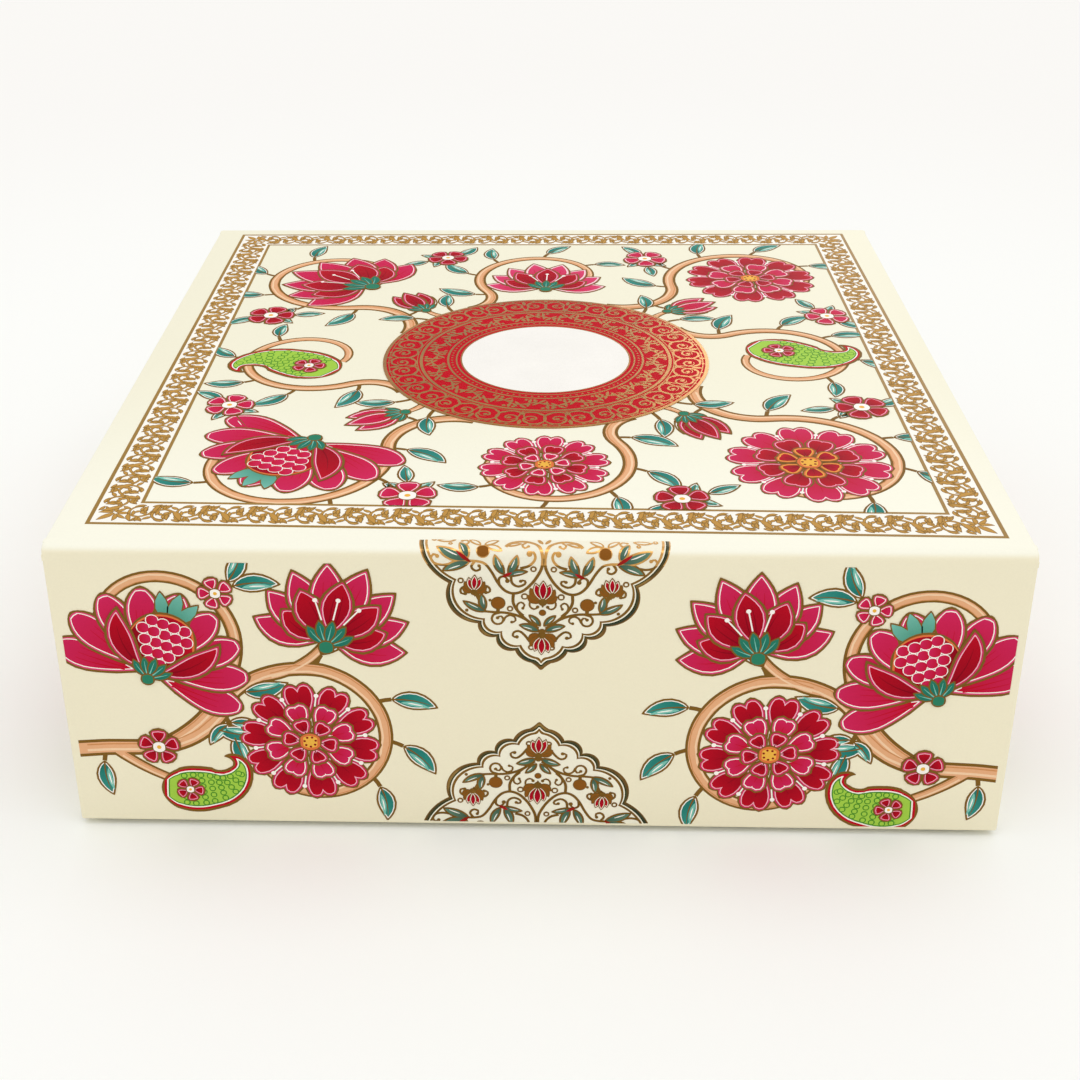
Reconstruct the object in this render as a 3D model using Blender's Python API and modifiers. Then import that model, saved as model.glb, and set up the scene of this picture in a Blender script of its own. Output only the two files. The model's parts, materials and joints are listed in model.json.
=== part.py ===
# Rigid hamper box with a book-style cover: a case of four grey boards in one printed paper, a tray glued
# inside it, a lid that hinges on the paper at its back edge, and a front flap that two magnets hold shut.
# Metres, +Z up. The origin is at the middle of the underside, and the flap is at -Y.

import bmesh
import bpy
from mathutils import Matrix, Vector

# The closed box
BOX_WIDTH = 0.254
BOX_DEPTH = 0.254
BOX_HEIGHT = 0.089

# Board, papers and the seams that their glue fills
BOARD = 0.002
PAPER = 0.0003
TAPE = 0.0003
SEAM = 0.0003
PAPER_CREASE = 0.0007

# The cover
COVER_OVERHANG = 0.001
REST_GAP = 0.0003
TURN_IN = 0.015
LINING_MARGIN = 0.003
HINGE_GAP = 0.0012
LID_FOLD_RADIUS = 0.0016
FLAP_FOLD_RADIUS = 0.0024
BASE_FOLD_RADIUS = 0.0014
FLAP_TABLE_GAP = 0.001

# The tray
RIM_TURN_DOWN = 0.02
UNDER_TURN = 0.018
LINING_DROP = 0.004
LINING_FOOT = 0.01
TRAY_CORNER = 0.0009
STAY_LEG = 0.012
STAY_SHORT = 0.004
HINGE_TAIL = 0.015

# The magnets and their steel keepers
MAGNET_RADIUS = 0.0075
MAGNET_THICK = 0.0012
KEEPER_RADIUS = 0.008
KEEPER_THICK = 0.001
POCKET_CLEARANCE = 0.0003
MAGNET_SPACING = 0.14
MAGNET_HEIGHT = 0.02

CURVE_STEPS = 6
CREASE_STEPS = 2
CORNER_STEPS = 3
DISC_SIDES = 48

# A corner between two faces turns by more than this angle, in radians
CORNER_ANGLE = 1
# Two directions face the same way when their product is above this
FACING = 0.5
# Points nearer than this are one point
TOUCHING = PAPER / 100

# Thicknesses of the made-up panels
SKIN = PAPER + SEAM
WRAPPED = SKIN + BOARD + SKIN
LINED = WRAPPED + SKIN
TRAY_SKIN = PAPER + SEAM + TAPE + SEAM
TRAY_WALL = TRAY_SKIN + BOARD + SKIN

# Planes that the pieces share
RIGHT = BOX_WIDTH / 2
FRONT = -BOX_DEPTH / 2
BACK = BOX_DEPTH / 2
TOP = BOX_HEIGHT

LID_UNDER = TOP - LINED
LID_FRONT = FRONT + WRAPPED + HINGE_GAP
LID_BACK = BACK - WRAPPED - HINGE_GAP
FLAP_TOP = TOP - WRAPPED - HINGE_GAP
FLAP_LOW = FLAP_TABLE_GAP
FLAP_INNER = FRONT + LINED

TRAY_RIGHT = RIGHT - COVER_OVERHANG
TRAY_FRONT = FLAP_INNER + REST_GAP
TRAY_BACK = BACK - WRAPPED - SEAM - SKIN
TRAY_LOW = WRAPPED + SEAM
TRAY_RIM = LID_UNDER - REST_GAP
FLOOR_TOP = TRAY_LOW + SKIN + BOARD

SPINE_LOW = BASE_FOLD_RADIUS + SEAM
SPINE_TOP = TOP - LID_FOLD_RADIUS - SEAM
BASE_BACK = BACK - WRAPPED - SEAM

LID_AXIS = Vector((0, BACK - LID_FOLD_RADIUS, TOP - LID_FOLD_RADIUS))
FLAP_AXIS = Vector((0, FRONT + FLAP_FOLD_RADIUS, TOP - FLAP_FOLD_RADIUS))

# Colours as red, green and blue, then roughness and metallic
PRINT_CREAM = ((0.90, 0.86, 0.74), 0.42, 0.0)
LINING_WHITE = ((0.86, 0.83, 0.76), 0.6, 0.0)
GREY_BOARD = ((0.36, 0.34, 0.31), 0.85, 0.0)
KRAFT = ((0.45, 0.31, 0.18), 0.75, 0.0)
NICKEL = ((0.72, 0.71, 0.68), 0.25, 1.0)
STEEL = ((0.52, 0.53, 0.54), 0.4, 1.0)


def clear_scene():
    for obj in list(bpy.data.objects):
        bpy.data.objects.remove(obj, do_unlink=True)


def new_collection(name):
    made = bpy.data.collections.new(name)
    bpy.context.scene.collection.children.link(made)
    return made


def surface(name, finish):
    colour, roughness, metallic = finish
    material = bpy.data.materials.new(name)
    material.use_nodes = True
    shader = material.node_tree.nodes["Principled BSDF"]
    shader.inputs["Base Color"].default_value = (*colour, 1)
    shader.inputs["Roughness"].default_value = roughness
    shader.inputs["Metallic"].default_value = metallic
    material.diffuse_color = (*colour, 1)
    return material


def object_of(mesh_edit, name, finish, group, centre=(0, 0, 0)):
    """Turns a finished bmesh into an object with a material of its own."""
    mesh = bpy.data.meshes.new(name)
    bmesh.ops.recalc_face_normals(mesh_edit, faces=mesh_edit.faces)
    mesh_edit.to_mesh(mesh)
    mesh_edit.free()
    obj = bpy.data.objects.new(name, mesh)
    obj.location = centre
    group.objects.link(obj)
    if finish:
        obj.data.materials.append(surface(name, finish))
    return obj


def cuboid(low, high):
    """A box mesh about its own middle, and that middle."""
    low, high = Vector(low), Vector(high)
    made = bmesh.new()
    bmesh.ops.create_cube(made, size=1)
    bmesh.ops.scale(made, vec=high - low, verts=made.verts)
    return made, (low + high) / 2


def board(name, low, high, group, finish=GREY_BOARD):
    made, centre = cuboid(low, high)
    return object_of(made, name, finish, group, centre)


def disc(name, radius, low_y, high_y, x, z, finish, group):
    """A round disc whose axis runs along Y."""
    made = bmesh.new()
    bmesh.ops.create_cone(
        made, cap_ends=True, segments=DISC_SIDES, radius1=radius, radius2=radius, depth=high_y - low_y
    )
    bmesh.ops.rotate(made, cent=(0, 0, 0), matrix=Matrix.Rotation(quarter_turn(), 3, "X"), verts=made.verts)
    return object_of(made, name, finish, group, (x, (low_y + high_y) / 2, z))


def quarter_turn():
    return Vector((0, 1, 0)).angle(Vector((0, 0, 1)))


def thicken(obj, thickness):
    """Gives an open sheet its wall on the side away from its normals."""
    wall = obj.modifiers.new("paper", "SOLIDIFY")
    wall.thickness = thickness
    wall.offset = -1
    wall.use_even_offset = True
    return obj


def crease_edges(made, radius):
    """Rounds the sheet along every edge where two of its faces meet at a corner."""
    folds = [e for e in made.edges if len(e.link_faces) == 2 and e.calc_face_angle() > CORNER_ANGLE]
    bmesh.ops.bevel(
        made, geom=folds, offset=radius, offset_type="OFFSET", segments=CREASE_STEPS, profile=0.5,
        affect="EDGES", clamp_overlap=True, material=-1,
    )


def wrap(name, low, high, inner, open_sides, group):
    """Paper round a board: its outer face, its closed edges, and margins turned in on the inner face.

    inner and open_sides are unit vectors. The paper runs on past an open side as a fold strip of its own.
    """
    made, centre = cuboid(low, high)
    half = (Vector(high) - Vector(low)) / 2
    inner = Vector(inner)
    open_sides = [Vector(side) for side in open_sides]
    axes = (Vector((1, 0, 0)), Vector((0, 1, 0)), Vector((0, 0, 1)))
    across = [axis for axis in axes if not axis.dot(inner)]
    closed = [s * axis for axis in across for s in (-1, 1) if s * axis not in open_sides]
    for side in closed:
        reach = abs(side.dot(half)) - TURN_IN
        bmesh.ops.bisect_plane(
            made, geom=made.verts[:] + made.edges[:] + made.faces[:], plane_co=side * reach, plane_no=side,
            dist=TOUCHING,
        )
    made.normal_update()
    gone = []
    for face in made.faces:
        middle = face.calc_center_median()
        in_margin = any(middle.dot(side) > abs(side.dot(half)) - TURN_IN for side in closed)
        on_inner = face.normal.dot(inner) > FACING
        on_open = any(face.normal.dot(side) > FACING for side in open_sides)
        if on_open or (on_inner and not in_margin):
            gone.append(face)
    bmesh.ops.delete(made, geom=gone, context="FACES")
    crease_edges(made, PAPER_CREASE)
    bmesh.ops.remove_doubles(made, verts=made.verts, dist=TOUCHING)
    return thicken(object_of(made, name, PRINT_CREAM, group, centre), PAPER)


def strip(name, path, width, thickness, finish, group):
    """A strip of paper whose outer face follows a path in the YZ plane, with its wall on the box's side."""
    made = bmesh.new()
    points = [made.verts.new((-width / 2, y, z)) for y, z in path]
    edges = [made.edges.new(pair) for pair in zip(points, points[1:])]
    swept = bmesh.ops.extrude_edge_only(made, edges=edges)
    far = [v for v in swept["geom"] if isinstance(v, bmesh.types.BMVert)]
    bmesh.ops.translate(made, vec=(width, 0, 0), verts=far)
    bmesh.ops.recalc_face_normals(made, faces=made.faces)
    made.faces.ensure_lookup_table()
    outward = made.faces[0].calc_center_median() - Vector((0, 0, TOP / 2))
    if made.faces[0].normal.dot(outward) < 0:
        bmesh.ops.reverse_faces(made, faces=made.faces)
    return thicken(sheet_object(made, name, finish, group), thickness)


def sheet_object(made, name, finish, group):
    """An open sheet keeps the face order that it was swept with, so its normals aren't recalculated."""
    mesh = bpy.data.meshes.new(name)
    made.to_mesh(mesh)
    made.free()
    obj = bpy.data.objects.new(name, mesh)
    group.objects.link(obj)
    obj.data.materials.append(surface(name, finish))
    return obj


def corner_arc(corner, leave, reach, radius):
    """Points of a quarter round that turns from the direction leave to the direction reach at a corner."""
    leave, reach = Vector(leave), Vector(reach)
    centre = Vector(corner) - leave * radius + reach * radius
    points = []
    for step in range(CURVE_STEPS + 1):
        turn = Matrix.Rotation(-quarter_turn() * step / CURVE_STEPS, 2)
        if leave.cross(reach) > 0:
            turn = turn.inverted()
        points.append(tuple(centre + turn @ (-reach * radius)))
    return points


def ring_sheet(name, rings, thickness, corner, faces_out, finish, group):
    """A sheet through rectangular rings, each given as left, right, front, back and height.

    Its walls face out of the box or into it, and the sheet's thickness lies behind that face.
    """
    made = bmesh.new()
    left, right, front, back, z = rings[0]
    first_ring = ((left, front, z), (right, front, z), (right, back, z), (left, back, z))
    corners = [made.verts.new(place) for place in first_ring]
    edges = [made.edges.new((corners[i - 1], corners[i])) for i in range(len(corners))]
    middle = Vector(((left + right) / 2, (front + back) / 2))
    for left, right, front, back, z in rings[1:]:
        swept = bmesh.ops.extrude_edge_only(made, edges=edges)["geom"]
        edges = [e for e in swept if isinstance(e, bmesh.types.BMEdge)]
        for corner_vert in (v for v in swept if isinstance(v, bmesh.types.BMVert)):
            x = left if corner_vert.co.x < middle.x else right
            y = front if corner_vert.co.y < middle.y else back
            corner_vert.co = (x, y, z)
    bmesh.ops.recalc_face_normals(made, faces=made.faces)
    wall = max(made.faces, key=lambda face: face.calc_area() * abs(face.normal.x))
    if (wall.normal.x * wall.calc_center_median().x > 0) != faces_out:
        bmesh.ops.reverse_faces(made, faces=made.faces)
    made.normal_update()
    shared = [e for e in made.edges if len(e.link_faces) == 2]
    between_walls = [e for e in shared if all(abs(f.normal.z) < FACING for f in e.link_faces)]
    upright = [e for e in between_walls if e.calc_face_angle() > CORNER_ANGLE]
    bmesh.ops.bevel(
        made, geom=upright, offset=corner, offset_type="OFFSET", segments=CORNER_STEPS, profile=0.5,
        affect="EDGES", clamp_overlap=True, material=-1,
    )
    return thicken(sheet_object(made, name, finish, group), thickness)


def cut(obj, cutter):
    pocket = obj.modifiers.new("pocket", "BOOLEAN")
    pocket.operation = "DIFFERENCE"
    pocket.solver = "EXACT"
    pocket.object = cutter


def magnet_places():
    return {"left": -MAGNET_SPACING / 2, "right": MAGNET_SPACING / 2}


def build_base(group):
    """The case's fixed boards and their papers."""
    side = RIGHT - SKIN
    board("base_board", (-side, TRAY_FRONT + SKIN, SKIN), (side, BASE_BACK, SKIN + BOARD), group)
    board("spine_board", (-side, BACK - SKIN - BOARD, SPINE_LOW), (side, BACK - SKIN, SPINE_TOP), group)
    wrap(
        "cover_wrap_base", (-RIGHT, TRAY_FRONT, 0), (RIGHT, BASE_BACK, WRAPPED), (0, 0, 1), [(0, 1, 0)], group
    )
    wrap(
        "cover_wrap_spine", (-RIGHT, BACK - WRAPPED, SPINE_LOW), (RIGHT, BACK, SPINE_TOP), (0, -1, 0),
        [(0, 0, 1), (0, 0, -1)], group,
    )
    turn = corner_arc((BACK, 0), (1, 0), (0, 1), BASE_FOLD_RADIUS)
    strip("cover_fold_base", [(BASE_BACK + SEAM, 0), *turn], BOX_WIDTH, PAPER, PRINT_CREAM, group)


def build_tray(group, cutters):
    """Five boards taped at their corners, wrapped, and lined."""
    out_x = TRAY_RIGHT - TRAY_SKIN
    out_front = TRAY_FRONT + TRAY_SKIN
    out_back = TRAY_BACK - TRAY_SKIN
    low = TRAY_LOW + SKIN
    high = TRAY_RIM - SKIN
    front = board("tray_front_board", (-out_x, out_front, low), (out_x, out_front + BOARD, high), group)
    board("tray_back_board", (-out_x, out_back - BOARD, low), (out_x, out_back, high), group)
    near = out_front + BOARD + SEAM
    far = out_back - BOARD - SEAM
    board("tray_left_board", (-out_x, near, low), (-out_x + BOARD, far, high), group)
    board("tray_right_board", (out_x - BOARD, near, low), (out_x, far, high), group)
    in_x = out_x - BOARD - SEAM
    board("tray_floor_board", (-in_x, near, low), (in_x, far, low + BOARD), group)
    build_stays(out_x, out_front, out_back, low, high, group)
    build_tray_papers(group)
    for side, x in magnet_places().items():
        disc(
            f"keeper_{side}", KEEPER_RADIUS, out_front, out_front + KEEPER_THICK, x, MAGNET_HEIGHT, STEEL, group
        )
        pocket = disc(
            f"keeper_pocket_{side}", KEEPER_RADIUS + POCKET_CLEARANCE, out_front - SEAM,
            out_front + KEEPER_THICK + POCKET_CLEARANCE, x, MAGNET_HEIGHT, None, cutters,
        )
        cut(front, pocket)


def build_stays(out_x, out_front, out_back, low, high, group):
    """Gummed paper tape folded round each upright corner of the tray's boards."""
    for depth, y, into_y in (("front", out_front, 1), ("back", out_back, -1)):
        for side, x, into_x in (("left", -out_x, 1), ("right", out_x, -1)):
            made = bmesh.new()
            skin_x = x - into_x * (SEAM + TAPE)
            skin_y = y - into_y * (SEAM + TAPE)
            leg_x = skin_x + into_x * STAY_LEG
            leg_y = skin_y + into_y * STAY_LEG
            path = ((leg_x, skin_y), (skin_x, skin_y), (skin_x, leg_y))
            points = [made.verts.new((px, py, low + STAY_SHORT)) for px, py in path]
            edges = [made.edges.new(pair) for pair in zip(points, points[1:])]
            swept = bmesh.ops.extrude_edge_only(made, edges=edges)
            top = [v for v in swept["geom"] if isinstance(v, bmesh.types.BMVert)]
            bmesh.ops.translate(made, vec=(0, 0, high - low - 2 * STAY_SHORT), verts=top)
            made.normal_update()
            outward = Vector((-into_x, -into_y, 0))
            made.faces.ensure_lookup_table()
            if made.faces[0].normal.dot(outward) < 0:
                bmesh.ops.reverse_faces(made, faces=made.faces)
            stay = sheet_object(made, f"corner_stay_{depth}_{side}", KRAFT, group)
            thicken(stay, TAPE)


def build_tray_papers(group):
    def ring(inset, z):
        return (-TRAY_RIGHT + inset, TRAY_RIGHT - inset, TRAY_FRONT + inset, TRAY_BACK - inset, z)

    skin = [
        ring(UNDER_TURN, TRAY_LOW), ring(0, TRAY_LOW), ring(0, TRAY_RIM), ring(TRAY_WALL, TRAY_RIM),
        ring(TRAY_WALL, TRAY_RIM - RIM_TURN_DOWN),
    ]
    ring_sheet("tray_wrap", skin, PAPER, TRAY_CORNER, True, PRINT_CREAM, group)
    inset = TRAY_WALL + SKIN
    foot = FLOOR_TOP + SKIN
    band = [ring(inset, TRAY_RIM - LINING_DROP), ring(inset, foot), ring(inset + LINING_FOOT, foot)]
    ring_sheet("tray_lining_walls", band, PAPER, TRAY_CORNER, False, LINING_WHITE, group)
    edge = inset + SEAM
    board(
        "tray_lining_floor", (-TRAY_RIGHT + edge, TRAY_FRONT + edge, foot + SEAM),
        (TRAY_RIGHT - edge, TRAY_BACK - edge, foot + SKIN), group, LINING_WHITE,
    )


def build_lid(group):
    """The lid's board between its printed paper and its lining, and the two papers of its hinge."""
    side = RIGHT - SKIN
    pieces = [
        board("lid_board", (-side, LID_FRONT, TOP - SKIN - BOARD), (side, LID_BACK, TOP - SKIN), group),
        wrap(
            "cover_wrap_lid", (-RIGHT, LID_FRONT, TOP - WRAPPED), (RIGHT, LID_BACK, TOP), (0, 0, -1),
            [(0, 1, 0), (0, -1, 0)], group,
        ),
    ]
    lined = RIGHT - LINING_MARGIN
    near = LID_FRONT + LINING_MARGIN
    far = LID_BACK - LINING_MARGIN
    under = LID_UNDER + PAPER
    pieces.append(board("lid_lining", (-lined, near, LID_UNDER), (lined, far, under), group, LINING_WHITE))
    turn = corner_arc((BACK, TOP), (0, 1), (-1, 0), LID_FOLD_RADIUS)
    route = [*turn, (LID_BACK + SEAM, TOP)]
    pieces.append(strip("cover_fold_lid", route, BOX_WIDTH, PAPER, PRINT_CREAM, group))
    tail = BACK - WRAPPED - SEAM
    turn = corner_arc((tail, under), (0, 1), (-1, 0), PAPER_CREASE)
    route = [(tail, TRAY_RIM - HINGE_TAIL), *turn, (far + SEAM, under)]
    pieces.append(strip("lining_fold_lid", route, 2 * lined, PAPER, LINING_WHITE, group))
    return pieces


def build_flap(group, cutters):
    """The front flap, hung on the lid's front edge by its papers, with its magnets let into the board."""
    side = RIGHT - SKIN
    inner_face = FRONT + SKIN + BOARD
    flap = board("flap_board", (-side, FRONT + SKIN, FLAP_LOW + SKIN), (side, inner_face, FLAP_TOP), group)
    pieces = [flap]
    pieces.append(
        wrap(
            "cover_wrap_flap", (-RIGHT, FRONT, FLAP_LOW), (RIGHT, FRONT + WRAPPED, FLAP_TOP), (0, 1, 0),
            [(0, 0, 1)], group,
        )
    )
    lined = RIGHT - LINING_MARGIN
    high = FLAP_TOP - LINING_MARGIN
    pieces.append(
        board(
            "flap_lining", (-lined, FLAP_INNER - PAPER, FLAP_LOW + LINING_MARGIN), (lined, FLAP_INNER, high),
            group, LINING_WHITE,
        )
    )
    for name, x in magnet_places().items():
        pieces.append(
            disc(
                f"magnet_{name}", MAGNET_RADIUS, inner_face - MAGNET_THICK, inner_face, x, MAGNET_HEIGHT,
                NICKEL, group,
            )
        )
        pocket = disc(
            f"magnet_pocket_{name}", MAGNET_RADIUS + POCKET_CLEARANCE,
            inner_face - MAGNET_THICK - POCKET_CLEARANCE, inner_face + SEAM, x, MAGNET_HEIGHT, None, cutters,
        )
        cut(flap, pocket)
    turn = corner_arc((FRONT, TOP), (0, 1), (1, 0), FLAP_FOLD_RADIUS)
    route = [(FRONT, FLAP_TOP + SEAM), *turn, (LID_FRONT - SEAM, TOP)]
    pieces.append(strip("cover_fold_flap", route, BOX_WIDTH, PAPER, PRINT_CREAM, group))
    face = FLAP_INNER - PAPER
    turn = corner_arc((face, LID_UNDER + PAPER), (0, 1), (1, 0), PAPER_CREASE)
    route = [(face, high + SEAM), *turn, (LID_FRONT + LINING_MARGIN - SEAM, LID_UNDER + PAPER)]
    pieces.append(strip("lining_fold_flap", route, 2 * lined, PAPER, LINING_WHITE, group))
    return pieces


def hinge_empty(name, place, parent, group):
    empty = bpy.data.objects.new(name, None)
    group.objects.link(empty)
    empty.location = place
    if parent:
        empty.parent = parent
        empty.matrix_parent_inverse = Matrix.Translation(parent.location).inverted()
    return empty


def hang(pieces, empty, place):
    for piece in pieces:
        piece.parent = empty
        piece.matrix_parent_inverse = Matrix.Translation(place).inverted()


def hide_cutters(cutters):
    for obj in cutters.objects:
        obj.hide_render = True
        obj.display_type = "WIRE"


def main():
    clear_scene()
    hamper = new_collection("hamper_box")
    cutters = new_collection("cutters")
    build_base(hamper)
    build_tray(hamper, cutters)
    lid_hinge = hinge_empty("lid_hinge", LID_AXIS, None, hamper)
    hang(build_lid(hamper), lid_hinge, LID_AXIS)
    flap_hinge = hinge_empty("flap_hinge", FLAP_AXIS, lid_hinge, hamper)
    hang(build_flap(hamper, cutters), flap_hinge, FLAP_AXIS)
    hide_cutters(cutters)


main()
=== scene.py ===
# %% [markdown]
# A rigid hamper box: grey boards wrapped in one printed paper, a lined tray, and a lid whose front flap
# shuts on hidden magnets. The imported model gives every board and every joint, and this lesson dresses it.
# The papers are remade with soft creases, and the print is drawn as thin raised ink and foil, because
# flat shapes with real edges stay sharp in any view, where a painted pattern would blur.

# %% Load the model
import bisect
import cmath
import itertools
import json
import math

import bmesh
import bpy
from mathutils import Matrix, Vector


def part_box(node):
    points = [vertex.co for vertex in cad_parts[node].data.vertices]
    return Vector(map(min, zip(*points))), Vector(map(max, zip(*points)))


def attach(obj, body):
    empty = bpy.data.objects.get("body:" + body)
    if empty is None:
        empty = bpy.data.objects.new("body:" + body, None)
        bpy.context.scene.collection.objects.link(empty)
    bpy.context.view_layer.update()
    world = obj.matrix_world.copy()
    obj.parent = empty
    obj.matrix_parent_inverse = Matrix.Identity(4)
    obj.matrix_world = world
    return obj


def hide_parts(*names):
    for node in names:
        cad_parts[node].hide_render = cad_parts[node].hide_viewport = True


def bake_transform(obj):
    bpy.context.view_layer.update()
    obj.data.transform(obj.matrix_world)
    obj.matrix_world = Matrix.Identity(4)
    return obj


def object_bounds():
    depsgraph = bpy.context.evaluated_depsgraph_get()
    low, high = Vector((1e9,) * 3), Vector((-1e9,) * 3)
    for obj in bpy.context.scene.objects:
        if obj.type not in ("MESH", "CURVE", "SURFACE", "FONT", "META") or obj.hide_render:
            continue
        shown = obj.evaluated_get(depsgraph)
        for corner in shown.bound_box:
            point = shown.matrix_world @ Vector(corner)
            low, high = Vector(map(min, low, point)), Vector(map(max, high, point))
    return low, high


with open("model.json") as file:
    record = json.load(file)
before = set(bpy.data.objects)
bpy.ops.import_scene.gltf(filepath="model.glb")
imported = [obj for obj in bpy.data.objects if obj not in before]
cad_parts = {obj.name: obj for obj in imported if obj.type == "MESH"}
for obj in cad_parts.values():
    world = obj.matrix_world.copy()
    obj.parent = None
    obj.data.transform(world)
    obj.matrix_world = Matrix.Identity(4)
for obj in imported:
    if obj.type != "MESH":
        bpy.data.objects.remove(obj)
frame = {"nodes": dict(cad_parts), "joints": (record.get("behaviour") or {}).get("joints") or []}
cad_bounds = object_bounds()
MM = 0.001
print("closed box in metres:", [tuple(round(c, 4) for c in corner) for corner in cad_bounds])

# %% Sizes read from the model
LOW, HIGH = (Vector(corner) for corner in cad_bounds)
TOP, FRONT, BACK, RIGHT = HIGH.z, LOW.y, HIGH.y, HIGH.x
LID_FRONT, LID_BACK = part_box("cover_wrap_lid")[0].y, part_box("cover_wrap_lid")[1].y
LID_WRAP_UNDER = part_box("cover_wrap_lid")[0].z
LID_LOW, LID_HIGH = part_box("lid_lining")
FLAP_LOW, FLAP_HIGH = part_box("cover_wrap_flap")
FLAP_LINING_LOW, FLAP_LINING_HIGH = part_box("flap_lining")
SPINE_LOW, SPINE_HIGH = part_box("cover_wrap_spine")
BASE_LOW, BASE_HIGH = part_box("cover_wrap_base")
TRAY_LOW, TRAY_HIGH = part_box("tray_wrap")
PAPER = LID_HIGH.z - LID_LOW.z
hinges = {joint["name"]: Vector(joint["pos_m"]) for joint in frame["joints"]}
BACK_ROUND = TOP - hinges["lid_hinge"].z
FRONT_ROUND = TOP - hinges["flap_hinge"].z
print("paper", round(PAPER / MM, 2), "mm")
print("fold radii", round(BACK_ROUND / MM, 2), "mm and", round(FRONT_ROUND / MM, 2), "mm")

# %% [markdown]
# A few small helpers do what every later step needs: a shader node with its settings and links in one
# call, a finished mesh as an object of the scene, the vertices that an extrusion made, and a plane cut.

# %% Helpers


def put(tree, target, values):
    """Sets a node's inputs. A value that is a socket is linked."""
    for key, value in values.items():
        if isinstance(value, bpy.types.NodeSocket):
            tree.links.new(value, target.inputs[key])
        else:
            target.inputs[key].default_value = value


def add_node(tree, kind, values=(), **settings):
    made = tree.nodes.new("ShaderNode" + kind)
    for name, value in settings.items():
        setattr(made, name, value)
    put(tree, made, dict(values))
    return made


def new_piece(made, name, material):
    mesh = bpy.data.meshes.new(name)
    made.to_mesh(mesh)
    made.free()
    mesh.materials.append(material)
    piece = bpy.data.objects.new(name, mesh)
    bpy.context.scene.collection.objects.link(piece)
    print("made", name, "with", len(mesh.polygons), "faces")
    return piece


def new_verts(extruded):
    return [v for v in extruded["geom"] if isinstance(v, bmesh.types.BMVert)]


def cut(made, place, normal, near, drop=False):
    """Cuts the whole mesh along a plane. With drop, what lies beyond the plane goes."""
    everything = made.verts[:] + made.edges[:] + made.faces[:]
    bmesh.ops.bisect_plane(
        made, geom=everything, plane_co=place, plane_no=normal, dist=near, clear_outer=drop,
    )


# %% [markdown]
# The camera and the light. The photograph looks down on the front from a little over half a metre, and
# its corners give the lens and the tilt. One broad, soft sun overhead makes the lid brighter than the
# flap, as in the photograph, and painted light and shade in the cover paper's tones add to it. The pale
# surroundings do the rest. Small hard lamps would leave dark shadows, which this kind of product picture
# doesn't have. Two area lamps are there only to be mirrored in the foil.

# %% Camera
FOCAL_PIXELS, PICTURE_PIXELS = 1602.2, 1080.0
AXIS_PIXEL = (486.8, 435.3)
CAMERA_AT = Vector((0.0032, -0.4803, 0.2927))
CAMERA_DOWN, CAMERA_YAW, CAMERA_ROLL = 25.857, 2.411, -0.806


def camera_turn():
    """The camera's axes: it looks along its own -Z, with +Y up."""
    turn = Matrix.Rotation(math.radians(CAMERA_YAW), 3, "Z")
    right = turn @ Vector((1, 0, 0))
    down = math.radians(CAMERA_DOWN)
    ahead = turn @ Vector((0, math.cos(down), -math.sin(down)))
    roll = Matrix.Rotation(math.radians(-CAMERA_ROLL), 3, ahead)
    right = roll @ right
    return Matrix((right, right.cross(ahead), -ahead)).transposed()


def add_camera():
    data = bpy.data.cameras.new("camera")
    data.sensor_width = 36
    data.lens = FOCAL_PIXELS / PICTURE_PIXELS * data.sensor_width
    data.shift_x = 0.5 - AXIS_PIXEL[0] / PICTURE_PIXELS
    data.shift_y = AXIS_PIXEL[1] / PICTURE_PIXELS - 0.5
    data.clip_start = 0.02
    camera = bpy.data.objects.new("camera", data)
    camera.matrix_world = Matrix.Translation(CAMERA_AT) @ camera_turn().to_4x4()
    bpy.context.scene.collection.objects.link(camera)
    bpy.context.scene.camera = camera
    print("lens", round(data.lens, 1), "mm, shift", round(data.shift_x, 3), round(data.shift_y, 3))


add_camera()

# %% Lamps, world and floor
SKY_LIGHT, SKY_TINT = 0.75, (1.0, 0.975, 0.94, 1)
SUN_POWER, SUN_TINT = 0.97, (1.0, 1.02, 1.1)
SUN_FROM, SUN_ANGLE = (0.12, -0.16, 1), 75
GLEAM_POWER = 4.0
# Each gleam is an area lamp's name, its place, its aim and its width.
GLEAMS = (
    ("gleam_on_gold", (0.46, 1.36, 0.66), (0.03, 0, 0.08), 0.6),
    ("gleam_on_fold", (0, -0.79, 1.44), (0, FRONT, TOP), 0.5),
)
# The near tone is paler than the far one: painted light round the box, against its shade on the card.
BACKDROP, LIT_NEAR_TONE, FAR_TONE = (0.965, 0.947, 0.913, 1), (0.94, 0.958, 0.931, 1), (0.912, 0.908, 0.882, 1)
FLOOR_HALF, FLOOR_LEVEL, FADE_START, FADE_END = 30, -0.0008, 0.2, 0.8


def add_lamp(name, kind, place, aim, size, power, tint=(1, 1, 1)):
    """size is a sun's angle in degrees, or an area lamp's width."""
    data = bpy.data.lights.new(name, kind)
    data.energy, data.color = power, tint
    if kind == "SUN":
        data.angle = math.radians(size)
    else:
        data.shape, data.size = "DISK", size
    lamp = bpy.data.objects.new(name, data)
    lamp.location = place
    lamp.rotation_euler = (Vector(aim) - Vector(place)).to_track_quat("-Z", "Y").to_euler()
    bpy.context.scene.collection.objects.link(lamp)
    return lamp


def add_world():
    """The world lights the box softly, but the camera and the foil see it as plain pale card."""
    world = bpy.data.worlds.new("studio")
    world.use_nodes = True
    bpy.context.scene.world = world
    tree = world.node_tree
    tree.nodes.clear()
    path = add_node(tree, "LightPath")
    looks = {0: path.outputs["Is Camera Ray"], 1: path.outputs["Is Glossy Ray"]}
    either = add_node(tree, "Math", looks, operation="MAXIMUM")
    lighting = add_node(tree, "Background", {"Color": SKY_TINT, "Strength": SKY_LIGHT})
    seen = add_node(tree, "Background", {"Color": BACKDROP})
    mix = add_node(tree, "MixShader", {0: either.outputs[0], 1: lighting.outputs[0], 2: seen.outputs[0]})
    add_node(tree, "OutputWorld", {"Surface": mix.outputs[0]})


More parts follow.
